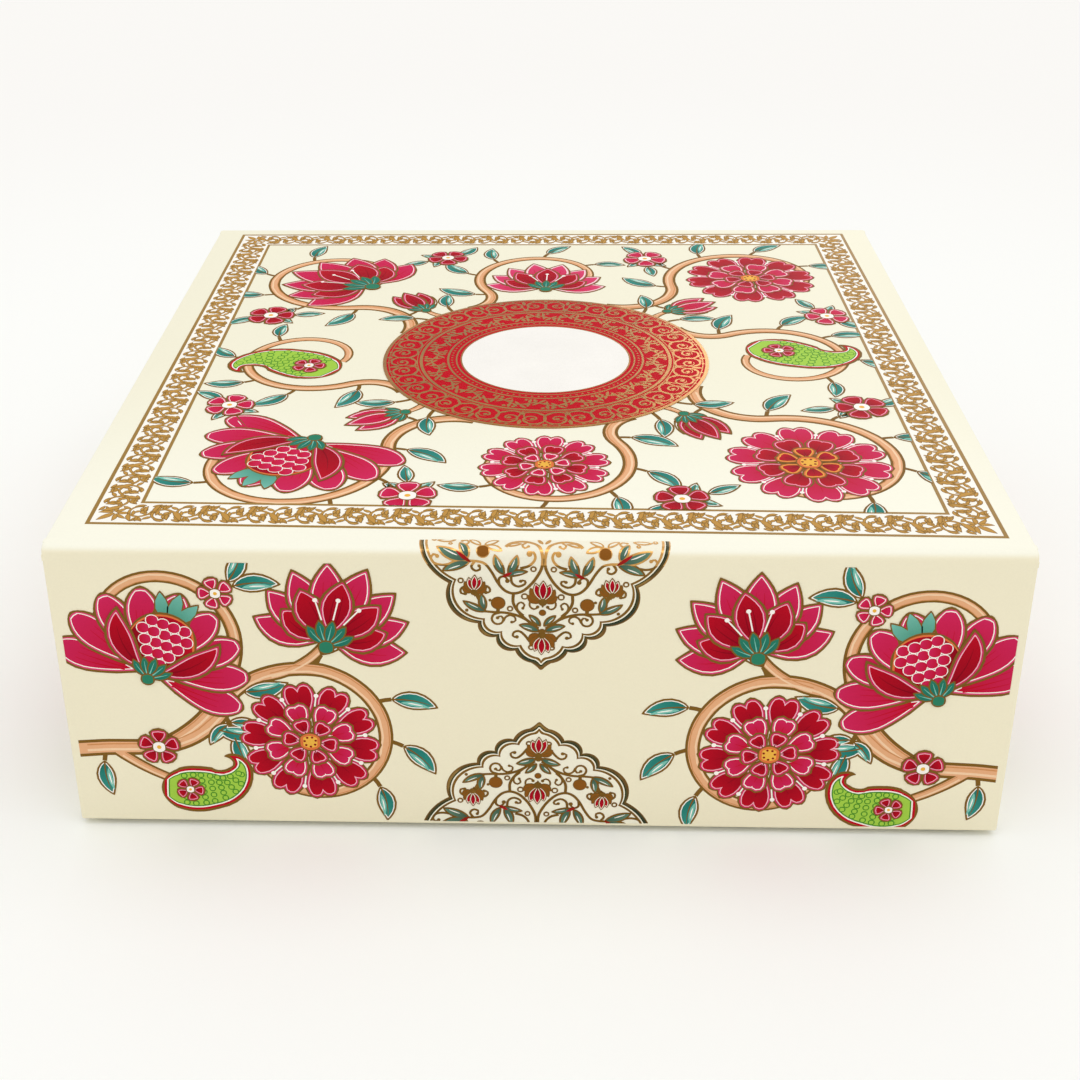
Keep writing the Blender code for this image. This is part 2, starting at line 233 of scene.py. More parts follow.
def smooth_share(tree, value, low, high):
    """How far a value has come from low to high, with a soft start and end."""
    ends = {"Value": value, "From Min": low, "From Max": high}
    return add_node(tree, "MapRange", ends, interpolation_type="SMOOTHSTEP").outputs["Result"]


def mixed(tree, share, near, far):
    ends = {"Factor": share, "A": near, "B": far}
    return add_node(tree, "Mix", ends, data_type="RGBA").outputs["Result"]


def add_floor():
    """Card painted paler near the box, a painted light against the box's shade on it. It lies so low that a
    thin shadow shows.
    """
    material = bpy.data.materials.new("table_card")
    material.use_nodes = True
    tree = material.node_tree
    place = add_node(tree, "TexCoord")
    reach = add_node(tree, "VectorMath", {0: place.outputs["Object"]}, operation="LENGTH")
    share = smooth_share(tree, reach.outputs["Value"], FADE_START, FADE_END)
    tone = mixed(tree, share, LIT_NEAR_TONE, FAR_TONE)
    put(tree, tree.nodes["Principled BSDF"], {"Base Color": tone, "Roughness": 0.9, "Specular IOR Level": 0})
    made = bmesh.new()
    bmesh.ops.create_grid(made, x_segments=1, y_segments=1, size=FLOOR_HALF)
    floor = new_piece(made, "table", material)
    floor.location.z = FLOOR_LEVEL


bpy.context.scene.view_settings.view_transform = "Standard"
add_lamp("softbox", "SUN", SUN_FROM, (0, 0, 0), SUN_ANGLE, SUN_POWER, SUN_TINT)
for name, place, aim, width in GLEAMS:
    add_lamp(name, "AREA", place, aim, width, GLEAM_POWER).visible_diffuse = False
add_world()
add_floor()

# %% [markdown]
# Finishes. The cover paper is coated art paper with a matt film, so it is smooth with a faint cloudiness.
# The lining is uncoated and shows its fibres. Ink reads its colour from the drawn shapes, and the foil is
# a hot-stamped metal whose tone drifts. One group of nodes gives each material its own cloudiness and
# fibre, so that no surface is a single flat colour.

# %% A node group for paper and ink
NOISE_LOW, NOISE_HIGH, NOISE_DETAIL = 0.3, 0.7, 4


def colour(code):
    """A web colour as the linear red, green, blue and alpha that Blender's shaders use."""
    channels = [int(code[k:k + 2], 16) / 255 for k in (0, 2, 4)]
    return (*[c / 12.92 if c <= 0.04045 else ((c + 0.055) / 1.055) ** 2.4 for c in channels], 1)


def grain_group():
    """Colour in, colour out, with broad clouds and fine fibres, and the fibres' height for a bump."""
    group = bpy.data.node_groups.new("paper_grain", "ShaderNodeTree")
    sockets = group.interface
    sockets.new_socket("Colour", in_out="INPUT", socket_type="NodeSocketColor")
    for name, value in (("Cloud size", 40.0), ("Cloud", 0.05), ("Fibre size", 1500.0), ("Fibre", 0.05)):
        sockets.new_socket(name, in_out="INPUT", socket_type="NodeSocketFloat").default_value = value
    sockets.new_socket("Colour", in_out="OUTPUT", socket_type="NodeSocketColor")
    sockets.new_socket("Height", in_out="OUTPUT", socket_type="NodeSocketFloat")
    given, made = group.nodes.new("NodeGroupInput"), group.nodes.new("NodeGroupOutput")
    place = add_node(group, "TexCoord").outputs["Object"]
    shade = given.outputs["Colour"]
    for size, amount in (("Cloud size", "Cloud"), ("Fibre size", "Fibre")):
        scale, spread = given.outputs[size], given.outputs[amount]
        field = {"Vector": place, "Scale": scale, "Detail": NOISE_DETAIL}
        noise = add_node(group, "TexNoise", field).outputs["Fac"]
        low = add_node(group, "Math", {0: 1, 1: spread}, operation="SUBTRACT").outputs[0]
        high = add_node(group, "Math", {0: 1, 1: spread}, operation="ADD").outputs[0]
        level = add_node(group, "MapRange", {
            "Value": noise, "From Min": NOISE_LOW, "From Max": NOISE_HIGH, "To Min": low, "To Max": high,
        }).outputs["Result"]
        shade = add_node(group, "VectorMath", {0: shade, "Scale": level}, operation="SCALE").outputs[0]
    put(group, made, {"Colour": shade, "Height": noise})
    return group


GRAIN = grain_group()

# %% Materials
ROUGHNESS_DRIFT = 0.05
# Where the painted shade of the panels fades into the lid's lit tone, up the front fold.
SHADE_FADE_LOW, SHADE_FADE_HIGH = TOP - 0.75 * FRONT_ROUND, TOP - 0.12 * FRONT_ROUND


def new_material(name, code, roughness, cloud, fibre, bump, metallic=0.0, shine=0.5, ink=False):
    """cloud and fibre are (scale, amount), and bump is (strength, distance in millimetres)."""
    material = bpy.data.materials.new(name)
    material.use_nodes = True
    tree = material.node_tree
    grain = add_node(tree, "Group", node_tree=GRAIN)
    put(tree, grain, {"Cloud size": cloud[0], "Cloud": cloud[1], "Fibre size": fibre[0], "Fibre": fibre[1]})
    put(tree, grain, {"Colour": colour(code)})
    if ink:
        drawn = add_node(tree, "Attribute", attribute_name="ink")
        put(tree, grain, {"Colour": drawn.outputs["Color"]})
    height = grain.outputs["Height"]
    raised = add_node(tree, "Bump", {"Strength": bump[0], "Distance": bump[1] * MM, "Height": height})
    drift = add_node(tree, "MapRange", {
        "Value": height, "To Min": roughness - ROUGHNESS_DRIFT, "To Max": roughness + ROUGHNESS_DRIFT,
    })
    put(tree, tree.nodes["Principled BSDF"], {
        "Base Color": grain.outputs["Colour"], "Roughness": drift.outputs["Result"], "Metallic": metallic,
        "Specular IOR Level": shine, "Normal": raised.outputs["Normal"],
    })
    return material


def recolour(material, tone):
    """Feeds another colour to the material's grain."""
    tree = material.node_tree
    put(tree, next(n for n in tree.nodes if n.type == "GROUP"), {"Colour": tone})


def painted_light_ground(material, shaded_side_tone, lit_front_tone, back_tone):
    """Painted light and shade on the paper's one cream: a deeper cream as painted shade on the panels round
    the box, and a paler, lit one on the lid.

    The lid's tone is a painted highlight that is palest along the front, and the painted shade begins on the
    fold.
    """
    tree = material.node_tree
    place = add_node(tree, "TexCoord").outputs["Object"]
    split = add_node(tree, "SeparateXYZ", {0: place}).outputs
    up_fold = smooth_share(tree, split["Z"], SHADE_FADE_LOW, SHADE_FADE_HIGH)
    to_back = smooth_share(tree, split["Y"], FRONT, (FRONT + BACK) / 2)
    lit_lid_tone = mixed(tree, to_back, colour(lit_front_tone), colour(back_tone))
    recolour(material, mixed(tree, up_fold, colour(shaded_side_tone), lit_lid_tone))


def streaked_foil():
    """Foil over green and gold ink, whose tone changes in broad streaks along the line."""
    material = new_material(
        "streaked_foil", "4C4018", 0.34, (60, 0.1), (900, 0.05), (0.2, 0.03), metallic=0.55
    )
    tree = material.node_tree
    place = add_node(tree, "TexCoord").outputs["Object"]
    streaks = add_node(tree, "TexNoise", {"Vector": place, "Scale": 95, "Detail": 1})
    tones = add_node(tree, "ValToRGB", {"Fac": streaks.outputs["Fac"]})
    ramp = tones.color_ramp.elements
    ramp[0].position, ramp[0].color = 0.36, colour("2C3420")
    ramp[1].position, ramp[1].color = 0.64, colour("8A6C34")
    for position, code in ((0.45, "4C4018"), (0.56, "66481A")):
        ramp.new(position).color = colour(code)
    recolour(material, tones.outputs["Color"])
    return material


COVER = new_material("cover_paper", "F3ECD0", 0.5, (9, 0.006), (1600, 0.01), (0.12, 0.03), shine=0.04)
# The cover's tones are painted light and shade: a paler lid, palest along its front, over deeper-cream
# panels.
painted_light_ground(COVER, "F3ECD0", "F7F6E5", "F1EED7")
LINING = new_material("lining_paper", "F0EBDD", 0.72, (14, 0.015), (1400, 0.03), (0.3, 0.05))
INK = new_material(
    "printed_ink", "B0101A", 0.5, (60, 0.025), (1800, 0.02), (0.1, 0.02), shine=0.02, ink=True
)
FOIL = new_material("gold_foil", "9C6C2A", 0.26, (55, 0.14), (900, 0.1), (0.25, 0.03), 1.0)
# A lighter copy of the foil for the gold on the front fold: a painted highlight.
LIT_COPY_FOIL = new_material("painted_highlight_foil", "C4924A", 0.3, (70, 0.12), (900, 0.08), (0.25, 0.03), 0.45)
# A darker copy of the foil for the flap's medallions: painted shade for the darker surroundings that the
# upright flap mirrors.
SHADED_COPY_FOIL = new_material("painted_shade_foil", "7A5822", 0.3, (70, 0.16), (900, 0.1), (0.25, 0.03), 0.9)
STREAKED = streaked_foil()
OCHRE = new_material("ochre_ink", "9C7A3C", 0.45, (45, 0.05), (1500, 0.04), (0.2, 0.02), shine=0.06)
GREY_BOARD = new_material("grey_board", "A39C90", 0.88, (60, 0.06), (900, 0.16), (0.6, 0.1))
KRAFT = new_material("kraft_tape", "B58D5C", 0.7, (80, 0.05), (700, 0.1), (0.4, 0.06))
NICKEL = new_material("nickel_plate", "D5D2CA", 0.22, (200, 0.04), (2500, 0.03), (0.1, 0.01), 1.0)
KEEPER = new_material("zinc_steel", "A9ADB0", 0.38, (300, 0.1), (2000, 0.06), (0.2, 0.01), 1.0)
print(len(bpy.data.materials), "materials")

# %% [markdown]
# Papers. On the real box they are sheets, glued round the boards with their margins turned in. A closed
# block would look alike from outside, but an open box shows the margins and the ends of the folds. So
# each paper starts as a box whose sides are deleted where the sheet runs on over a fold. Its inner side
# keeps only the margins, its edges get the small round of creased paper, and it is thickened at the end.

# %% Sheets round the boards
TURN_IN = 15 * MM
CREASE, CREASE_STEPS = 0.7 * MM, 4
SHARP = math.radians(35)
TINY = PAPER / 100


def thin_sheet(made, name, material, inside):
    """Makes the object and gives the sheet its thickness, towards the point inside.

    The sheet's cut edges are sharp, or the shading of its flat faces would lean towards its rim.
    """
    made.normal_update()
    bmesh.ops.recalc_face_normals(made, faces=made.faces)
    largest = max(made.faces, key=lambda f: f.calc_area())
    if largest.normal.dot(largest.calc_center_median() - inside) < 0:
        bmesh.ops.reverse_faces(made, faces=made.faces)
    for face in made.faces:
        face.smooth = True
    for edge in made.edges:
        edge.smooth = not edge.is_boundary and edge.calc_face_angle(0) < SHARP
    piece = new_piece(made, name, material)
    wall = piece.modifiers.new("paper", "SOLIDIFY")
    wall.thickness, wall.offset, wall.use_even_offset = PAPER, -1, True
    return piece


def soften(made):
    """Rounds every fold of the sheet."""
    folds = [e for e in made.edges if len(e.link_faces) == 2 and e.calc_face_angle() > 1]
    bmesh.ops.bevel(
        made, geom=folds, offset=CREASE, offset_type="OFFSET", segments=CREASE_STEPS, profile=0.5,
        affect="EDGES", clamp_overlap=True, material=-1,
    )


def wrapped(name, low, high, inner, open_sides):
    """Paper round a board, with margins turned in on the side that inner points to."""
    middle, half, inner = (low + high) / 2, (high - low) / 2, Vector(inner)
    open_sides = [Vector(side) for side in open_sides]
    made = bmesh.new()
    bmesh.ops.create_cube(made, size=1)
    bmesh.ops.scale(made, vec=high - low, verts=made.verts)
    bmesh.ops.translate(made, vec=middle, verts=made.verts)
    axes = [axis for axis in map(Vector, ((1, 0, 0), (0, 1, 0), (0, 0, 1))) if not axis.dot(inner)]
    closed = [s * axis for axis in axes for s in (-1, 1) if s * axis not in open_sides]
    margins = [(side, abs(side.dot(half)) - TURN_IN) for side in closed]
    for side, reach in margins:
        cut(made, middle + side * reach, side, TINY)
    made.normal_update()
    gone = []
    for face in made.faces:
        place = face.calc_center_median() - middle
        in_margin = any(place.dot(side) > reach for side, reach in margins)
        uncovered = face.normal.dot(inner) > 0.5 and not in_margin
        if uncovered or any(face.normal.dot(side) > 0.5 for side in open_sides):
            gone.append(face)
    bmesh.ops.delete(made, geom=gone, context="FACES")
    soften(made)
    bmesh.ops.remove_doubles(made, verts=made.verts, dist=TINY)
    return thin_sheet(made, name, COVER, middle)


def case_papers():
    lid_low, lid_high = Vector((-RIGHT, LID_FRONT, LID_WRAP_UNDER)), Vector((RIGHT, LID_BACK, TOP))
    for name, body, node, low, high, inner, open_sides in (
        ("cover_paper_lid", "lid", "cover_wrap_lid", lid_low, lid_high, (0, 0, -1), ((0, 1, 0), (0, -1, 0))),
        ("cover_paper_flap", "flap", "cover_wrap_flap", FLAP_LOW, FLAP_HIGH, (0, 1, 0), ((0, 0, 1),)),
        ("cover_paper_base", "base", "cover_wrap_base", BASE_LOW, BASE_HIGH, (0, 0, 1), ((0, 1, 0),)),
        ("cover_paper_spine", "base", "cover_wrap_spine", SPINE_LOW, SPINE_HIGH, (0, -1, 0),
         ((0, 0, 1), (0, 0, -1))),
    ):
        piece = wrapped(name, low, high, inner, open_sides)
        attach(piece, body)
        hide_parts(node)


case_papers()

# %% [markdown]
# The folds. Between two boards the cover is paper alone, and there it bends. Each fold is a profile, a
# quarter round with a straight run to the next board, that is extruded across the box. The two hinge
# folds stay on no body, and the fold under the base rides with the base.

# %% Fold strips
ROUND_STEPS, RUN_CUTS = 10, 8
HEM = 0.92


def quarter(corner, leave, reach, radius):
    """A quarter round at a corner of the YZ plane, from the direction leave to the direction reach."""
    leave, reach = Vector(leave), Vector(reach)
    centre = Vector(corner) + (reach - leave) * radius
    turns = [math.pi / 2 * k / ROUND_STEPS for k in range(ROUND_STEPS + 1)]
    return [centre - reach * radius * math.cos(t) + leave * radius * math.sin(t) for t in turns]


def fold_strip(name, path, half_width, material, core=None):
    """A paper strip whose outer face follows path, a list of (y, z), with its runs cut for bending.

    With a core, its nearest and furthest (y, z), the strip's two sides turn down towards it, as the
    sheet's hem does beside the boards.
    """
    made = bmesh.new()
    points = [made.verts.new((-half_width, y, z)) for y, z in path]
    edges = [made.edges.new(pair) for pair in zip(points, points[1:])]
    far = new_verts(bmesh.ops.extrude_edge_only(made, edges=edges))
    bmesh.ops.translate(made, vec=(2 * half_width, 0, 0), verts=far)
    runs = [e for e in made.edges if len(e.link_faces) and abs(e.verts[0].co.x - e.verts[1].co.x) < PAPER]
    long_runs = [e for e in runs if e.calc_length() > BACK_ROUND]
    bmesh.ops.subdivide_edges(made, edges=long_runs, cuts=RUN_CUTS, use_grid_fill=True)
    if core:
        hem = [e for e in made.edges if e.is_boundary and e.verts[0].co.x * e.verts[1].co.x > 0]
        hem = [e for e in hem if all(abs(abs(v.co.x) - half_width) < PAPER for v in e.verts)]
        for vert in new_verts(bmesh.ops.extrude_edge_only(made, edges=hem)):
            inside = [min(max(place, low), high) for place, low, high in zip(vert.co.yz, *core)]
            vert.co = vert.co.lerp(Vector((vert.co.x, *inside)), HEM)
        soften(made)
    return thin_sheet(made, name, material, Vector((0, 0, TOP / 2)))


def fold_papers():
    low_round = SPINE_LOW.z - PAPER
    front = [(FRONT, FLAP_HIGH.z), *quarter((FRONT, TOP), (0, 1), (1, 0), FRONT_ROUND), (LID_FRONT, TOP)]
    back = [(BACK, SPINE_HIGH.z), *quarter((BACK, TOP), (0, 1), (-1, 0), BACK_ROUND), (LID_BACK, TOP)]
    low = [(BASE_HIGH.y, 0), *quarter((BACK, 0), (1, 0), (0, 1), low_round), (BACK, SPINE_LOW.z)]
    front, back, low = (
        fold_strip(name, path, RIGHT, COVER, core) for name, path, core in (
            ("cover_paper_front_fold", front, ((FLAP_HIGH.y, 0), (BACK, LID_WRAP_UNDER))),
            ("cover_paper_back_fold", back, ((FRONT, 0), (BACK - BACK_ROUND, TOP - BACK_ROUND))),
            ("cover_paper_base_fold", low, ((FRONT, low_round), (BACK - low_round, TOP))),
        )
    )
    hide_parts("cover_fold_flap")
    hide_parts("cover_fold_lid")
    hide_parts("cover_fold_base")
    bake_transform(front)
    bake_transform(back)
    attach(low, "base")


def lining_folds():
    """The inner papers of the two hinges, which bend only in the gaps between the boards."""
    level, half = LID_LOW.z + PAPER, LID_HIGH.x
    flap_face = FLAP_LINING_LOW.y
    tail_low, tail_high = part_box("lining_fold_lid")
    turn = quarter((flap_face, level), (0, 1), (1, 0), CREASE)
    front = [(flap_face, FLAP_LINING_HIGH.z), *turn, (LID_LOW.y, level)]
    front = fold_strip("lining_paper_front_fold", front, half, LINING)
    turn = quarter((tail_high.y, level), (0, 1), (-1, 0), CREASE)
    back = [(tail_high.y, tail_low.z), *turn, (LID_HIGH.y, level)]
    back = fold_strip("lining_paper_back_fold", back, half, LINING)
    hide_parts("lining_fold_flap")
    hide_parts("lining_fold_lid")
    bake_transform(front)
    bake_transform(back)


fold_papers()
lining_folds()

# %% [markdown]
# What the model already has right stays as it is and only gets its finish: boards, tape, linings, the
# tray's wrap, magnets and their keepers. A second copy of them would only hide the first.

# %% Finishes for the model's own pieces
FINISHES = {
    "_board": GREY_BOARD, "corner_stay": KRAFT, "lining": LINING, "cover_": COVER, "tray_wrap": COVER,
    "magnet": NICKEL, "keeper": KEEPER,
}
for name, solid in sorted(frame["nodes"].items()):
    finish = next(material for word, material in FINISHES.items() if word in name)
    solid.data.materials.clear()
    solid.data.materials.append(finish)
print(len(frame["nodes"]), "solids dressed")

# %% [markdown]
# Drawing the print. Every shape, from a vine to a petal, is a strip that lies along a line and has some
# width at each share of the way. So one tool draws them all: a short bar is set across the line's start
# and extruded along it, a step at a time, for hundreds of shapes in one call. Then all of them are raised
# from the paper as closed solids a few hundredths of a millimetre thick, like ink and foil under a loupe.

# %% Lines on the paper, in millimetres
KEY = 0.75
LEVEL, BAND, SLIVER, SINK = 0.02, 0.003, 0.0003, 0.06
THIN, MARKS, SHORTEST = 0.04, 120, 0.02
ARC_STEP, CURL_STEP, PART_STEPS = 5, 7, 24


def way(degrees, length=1.0):
    """A step on the paper, which is a complex number, so that turning is multiplying."""
    return cmath.rect(length, math.radians(degrees))


def facing(step):
    return math.degrees(cmath.phase(step))


class Line:
    """A curve on the paper that knows its point and heading at each share of its length."""

    def __init__(self, points):
        self.points = points
        self.run = [0.0, *itertools.accumulate(abs(b - a) for a, b in zip(points, points[1:]))]
        self.length = self.run[-1]

    def at(self, share):
        goal = share * self.length
        k = min(max(bisect.bisect_left(self.run, goal), 1), len(self.points) - 1)
        a, b = self.points[k - 1], self.points[k]
        heading = (b - a) / abs(b - a)
        return a + heading * (goal - self.run[k - 1]), heading

    def aside(self, distance):
        """The line that runs beside this one, to its left."""
        count = len(self.points) - 1
        return Line([p + 1j * h * distance for p, h in (self.at(k / count) for k in range(count + 1))])

    def part(self, start, end):
        shares = [start + (end - start) * k / PART_STEPS for k in range(PART_STEPS + 1)]
        return Line([self.at(share)[0] for share in shares])

    def join(self, other):
        return Line(self.points + other.points[1:])


def walk(start, heading, *bends):
    """Arcs one after another, each a (length, turn in degrees), as a hand draws a stem."""
    points = [start]
    for length, turn in bends:
        steps = max(1, round(abs(turn) / ARC_STEP))
        for _ in range(steps):
            points.append(points[-1] + way(heading + turn / steps / 2, length / steps))
            heading += turn / steps
    return Line(points)


def arc_to(start, goal, arrive):
    """One arc from start to goal that arrives with the heading arrive."""
    chord = cmath.phase((goal - start) / way(arrive))
    turn = -2 * chord
    length = abs(goal - start) * (abs(turn) / 2 / math.sin(abs(turn) / 2) if abs(turn) > 0.01 else 1)
    return walk(start, arrive - math.degrees(turn), (length, math.degrees(turn)))


def curl(centre, start, radius, degrees):
    """A spiral round centre from start, which closes to the given radius."""
    reach, steps = abs(start - centre), max(2, round(abs(degrees) / CURL_STEP))
    first = (start - centre) / reach
    shares = [k / steps for k in range(steps + 1)]
    return Line([centre + first * way(degrees * s, reach + (radius - reach) * s) for s in shares])


# %% Widths along a line


def even(s):
    return 1.0


def taper(s):
    return 1 - 0.6 * s


def hair(s):
    return 1 - 0.85 * s


def almond(s):
    return math.sin(math.pi * s**0.85) ** 0.85


def oval(s):
    return math.sin(math.pi * s**0.92) ** 0.68


def round_petal(s):
    return math.sin(math.pi * s**1.9) ** 0.6


def pointed(s):
    return math.sin(math.pi * s**1.15) ** 0.9


def circle(s):
    return 2 * math.sqrt(max(0.0, s * (1 - s)))


def acanthus(s):
    return math.sin(math.pi * s**0.8) ** 0.7 * (0.78 + 0.22 * abs(math.cos(4.5 * math.pi * s)))


def mango(s):
    return 1.28 * math.sin(math.pi * min(1, s**0.7)) ** 0.75 * (1 - 0.55 * s)


def rungs(line, half, shrink, steps):
    """Pairs of points across a line, drawn in by shrink all round."""
    marks = [0.5 - 0.5 * math.cos(math.pi * k / MARKS) for k in range(MARKS + 1)]
    inside = [s for s in marks if half(s) > shrink + THIN]
    if not inside:
        return []
    low, high = max(inside[0], shrink / line.length), min(inside[-1], 1 - shrink / line.length)
    if high - low < SHORTEST:
        return []
    closed = half(0.0) < THIN, half(1.0) < THIN
    pairs = []
    for k in range(steps + 1):
        s = low + (high - low) * ((0.5 - 0.5 * math.cos(math.pi * k / steps)) if closed[1] else k / steps)
        point, heading = line.at(s)
        pinched = (k == 0 and closed[0]) or (k == steps and closed[1])
        reach = THIN if pinched else max(half(s) - shrink, THIN)
        pairs.append((point + 1j * heading * reach, point - 1j * heading * reach))
    return pairs


# %% A print: shapes laid on one another
COLUMNS, SHEET, NEAR = 48, 140.0, 1e-5
SLIP_STRIDE, SLIPS, CHAIN_TURNS = 5, 17, 3


def colour_mix(near, far, share):
    return [a + (b - a) * share for a, b in zip(near, far)]


class Print:
    """Shapes waiting to be raised. Each is laid once for every map in copies."""

    def __init__(self, *copies, chain=False):
        self.copies, self.chain = copies or (lambda p: p,), chain
        self.shapes, self.tints, self.laid = [], {}, 0

    def lay(self, line, width, level, *inks, half=even, steps=None):
        """inks go from the edge inwards: (shrink, colour at the start[, colour at the end])."""
        steps = steps or max(6, min(18, round(line.length * 0.6)))
        for band, (shrink, near, *far) in enumerate(inks):
            pairs = rungs(line, lambda s: width / 2 * half(s), shrink, steps)
            if pairs:
                self.add(pairs, level * LEVEL + (not self.chain) * band * BAND, near, far[0] if far else near)
            self.laid += self.chain
        self.laid += not self.chain

    def add(self, pairs, height, near, far):
        """No two shapes that overlap may share a height, so each gets a tiny step of its own.

        In a chain each copy overlaps the next, so the copies take turns too, and so do a shape's inks.
        """
        column = self.tints.setdefault((near, far), len(self.tints))
        for turn, copy in enumerate(self.copies):
            slip = self.laid * SLIP_STRIDE % SLIPS
            if self.chain:
                slip = self.laid * CHAIN_TURNS + turn % CHAIN_TURNS
            placed = [(copy(a), copy(b)) for a, b in pairs]
            self.shapes.append((height + SLIVER * slip, near, far, column, placed))

    def include(self, other):
        """Takes in the shapes of another print, which may have other copies."""
        first = len(self.tints)
        for tint, column in other.tints.items():
            self.tints.setdefault(tint, first + column)
        self.shapes += [(h, n, f, self.tints[n, f], pairs) for h, n, f, _, pairs in other.shapes]

    def dot(self, at, radius, level, *inks, steps=6):
        self.lay(Line([at - radius, at + radius]), 2 * radius, level, *inks, half=circle, steps=steps)

    def grow(self, made):
        """Extrudes a bar across the start of every shape along it, all shapes at once.

        It gives back the layer that holds each vertex's place on the chart of tints.
        """
        number, side = made.verts.layers.int.new("number"), made.verts.layers.int.new("side")
        ink, chart = made.verts.layers.float_color.new("ink"), made.verts.layers.float_vector.new("chart")

        def settle(vert, step):
            height, near, far, column, pairs = self.shapes[vert[number]]
            p, share = pairs[step][vert[side]], step / (len(pairs) - 1)
            vert.co = (p.real, p.imag, height)
            vert[ink] = colour_mix(near, far, share)
            up = share if near != far else 0.5 + 0.5 * p.imag / SHEET
            across = min(0.95, max(0.05, 0.5 + 0.45 * p.real / SHEET))
            vert[chart] = ((column % COLUMNS + across) / COLUMNS, min(0.98, max(0.02, up)), 0)

        bars = []
        for count in range(len(self.shapes)):
            pair = [made.verts.new(), made.verts.new()]
            for vert, edge in zip(pair, (0, 1)):
                vert[number], vert[side] = count, edge
                settle(vert, 0)
            bars.append(made.edges.new(pair))
        step = 1
        while bars := [bar for bar in bars if len(self.shapes[bar.verts[0][number]][4]) > step]:
            grown = bmesh.ops.extrude_edge_only(made, edges=bars)
            fresh = set(new_verts(grown))
            for vert in fresh:
                settle(vert, step)
            edges = [e for e in grown["geom"] if isinstance(e, bmesh.types.BMEdge)]
            bars = [e for e in edges if fresh.issuperset(e.verts)]
            step += 1
        return chart

    def raise_on(self, name, place, material, clip=(), bends=()):
        """place maps (u, v, height) in metres to the box.

        Each clip is a (point, outward normal), and each bend is the v of a cut where the print will bend.
        """
        made = bmesh.new()
        chart = self.grow(made)
        for point, normal in clip:
            cut(made, (point.real, point.imag, 0), (normal.real, normal.imag, 0), NEAR, True)
        for bend in bends:
            cut(made, (0, bend, 0), (0, 1, 0), NEAR)
        for vert in new_verts(bmesh.ops.extrude_face_region(made, geom=made.faces[:], use_keep_orig=True)):
            vert.co.z = -SINK
        bmesh.ops.recalc_face_normals(made, faces=made.faces)
        charted = made.loops.layers.uv.new("OFBake")
        for vert in made.verts:
            vert.co = place(*(vert.co * MM))
            for loop in vert.link_loops:
                loop[charted].uv = vert[chart].xy
        piece = new_piece(made, name, material)
        for attribute in ("number", "side", "chart"):
            piece.data.attributes.remove(piece.data.attributes[attribute])
        print(name, "shows", len(self.shapes), "shapes in", len(self.tints), "tints")
        return piece


def box_clip(left, right, low, high):
    """Four cutting lines that keep a rectangle."""
    across = [(complex(left, 0), -1 + 0j), (complex(right, 0), 1 + 0j)]
    return across + [(complex(0, low), -1j), (complex(0, high), 1j)]


# %% Where a print can lie


def on_lid(u, v, height):
    return Vector((u, v, TOP + height))


def on_front(u, v, height):
    """Up the flap and round the front fold to the lid. v is measured along the paper from the table."""
    turn = (v - (TOP - FRONT_ROUND)) / FRONT_ROUND
    if turn <= 0:
        return Vector((u, FRONT - height, v))
    flat, turn = max(0, turn - math.pi / 2), min(turn, math.pi / 2)
    along, reach = FRONT + FRONT_ROUND * (1 + flat), FRONT_ROUND + height
    return Vector((u, along - reach * math.cos(turn), TOP - FRONT_ROUND + reach * math.sin(turn)))


def on_back(u, v, height):
    return Vector((-u, BACK + height, v))


def on_right(u, v, height):
    return Vector((TRAY_HIGH.x + height, u, v))


def on_left(u, v, height):
    return Vector((TRAY_LOW.x - height, -u, v))


# %% Inks
BARK, TAN, TAN_LIGHT, TAN_DEEP = (colour(c) for c in ("7E5C27", "E6AE82", "F4CFA9", "D08F5A"))
CRIMSON, DEEP, PINK, ROSE, BLUSH = (colour(c) for c in ("BE1026", "860A1C", "E0487A", "CE2A5E", "F6B4C6"))
ORANGE, YOLK, WHITE, CREAM = (colour(c) for c in ("DE7440", "EDB54A", "FCF8F0", "F4EFDB"))
TEAL, TEAL_DARK, TEAL_LIGHT, CALYX = (colour(c) for c in ("3A968A", "1D6B62", "7CC2B2", "2F7F63"))
LIME, LIME_DARK, UMBER = (colour(c) for c in ("A3CE4B", "4F9030", "8A561F"))
MOSS, MOSS_DARK, EMBER = (colour(c) for c in ("688C76", "3A5546", "7C2A12"))

# %% [markdown]
# The motifs are old stock of painted cottons: a round rosette, a lotus from the side, a pomegranate, a
# bud, a small blossom, a mango or paisley, and leaves. Petals of one ring lie side by side over dark
# petals that are a little larger, so a fine line is left between them and a broad one round the flower.

# %% Vines and leaves


def vine(art, line, width, ending=0.6):
    """A stem with dark edges. All edges lie lower than all fills, so stems that meet grow together."""
    def narrowing(s):
        return 1 - (1 - ending) * s

    steps, edge = max(8, round(line.length / 2)), min(1.0, 0.2 * width)
    start = min(0.3, width / line.length)
    art.lay(line, width, 1, (0, BARK), half=narrowing, steps=steps)
    art.lay(line, width - 2 * edge, 2, (0, TAN), half=narrowing, steps=steps)
    for shift, share, tint in ((0.13, 0.14, TAN_LIGHT), (-0.2, 0.07, TAN_DEEP)):
        streak = line.aside(width * shift).part(start, 0.97)
        art.lay(streak, width * share, 3, (0, tint), half=narrowing, steps=steps)


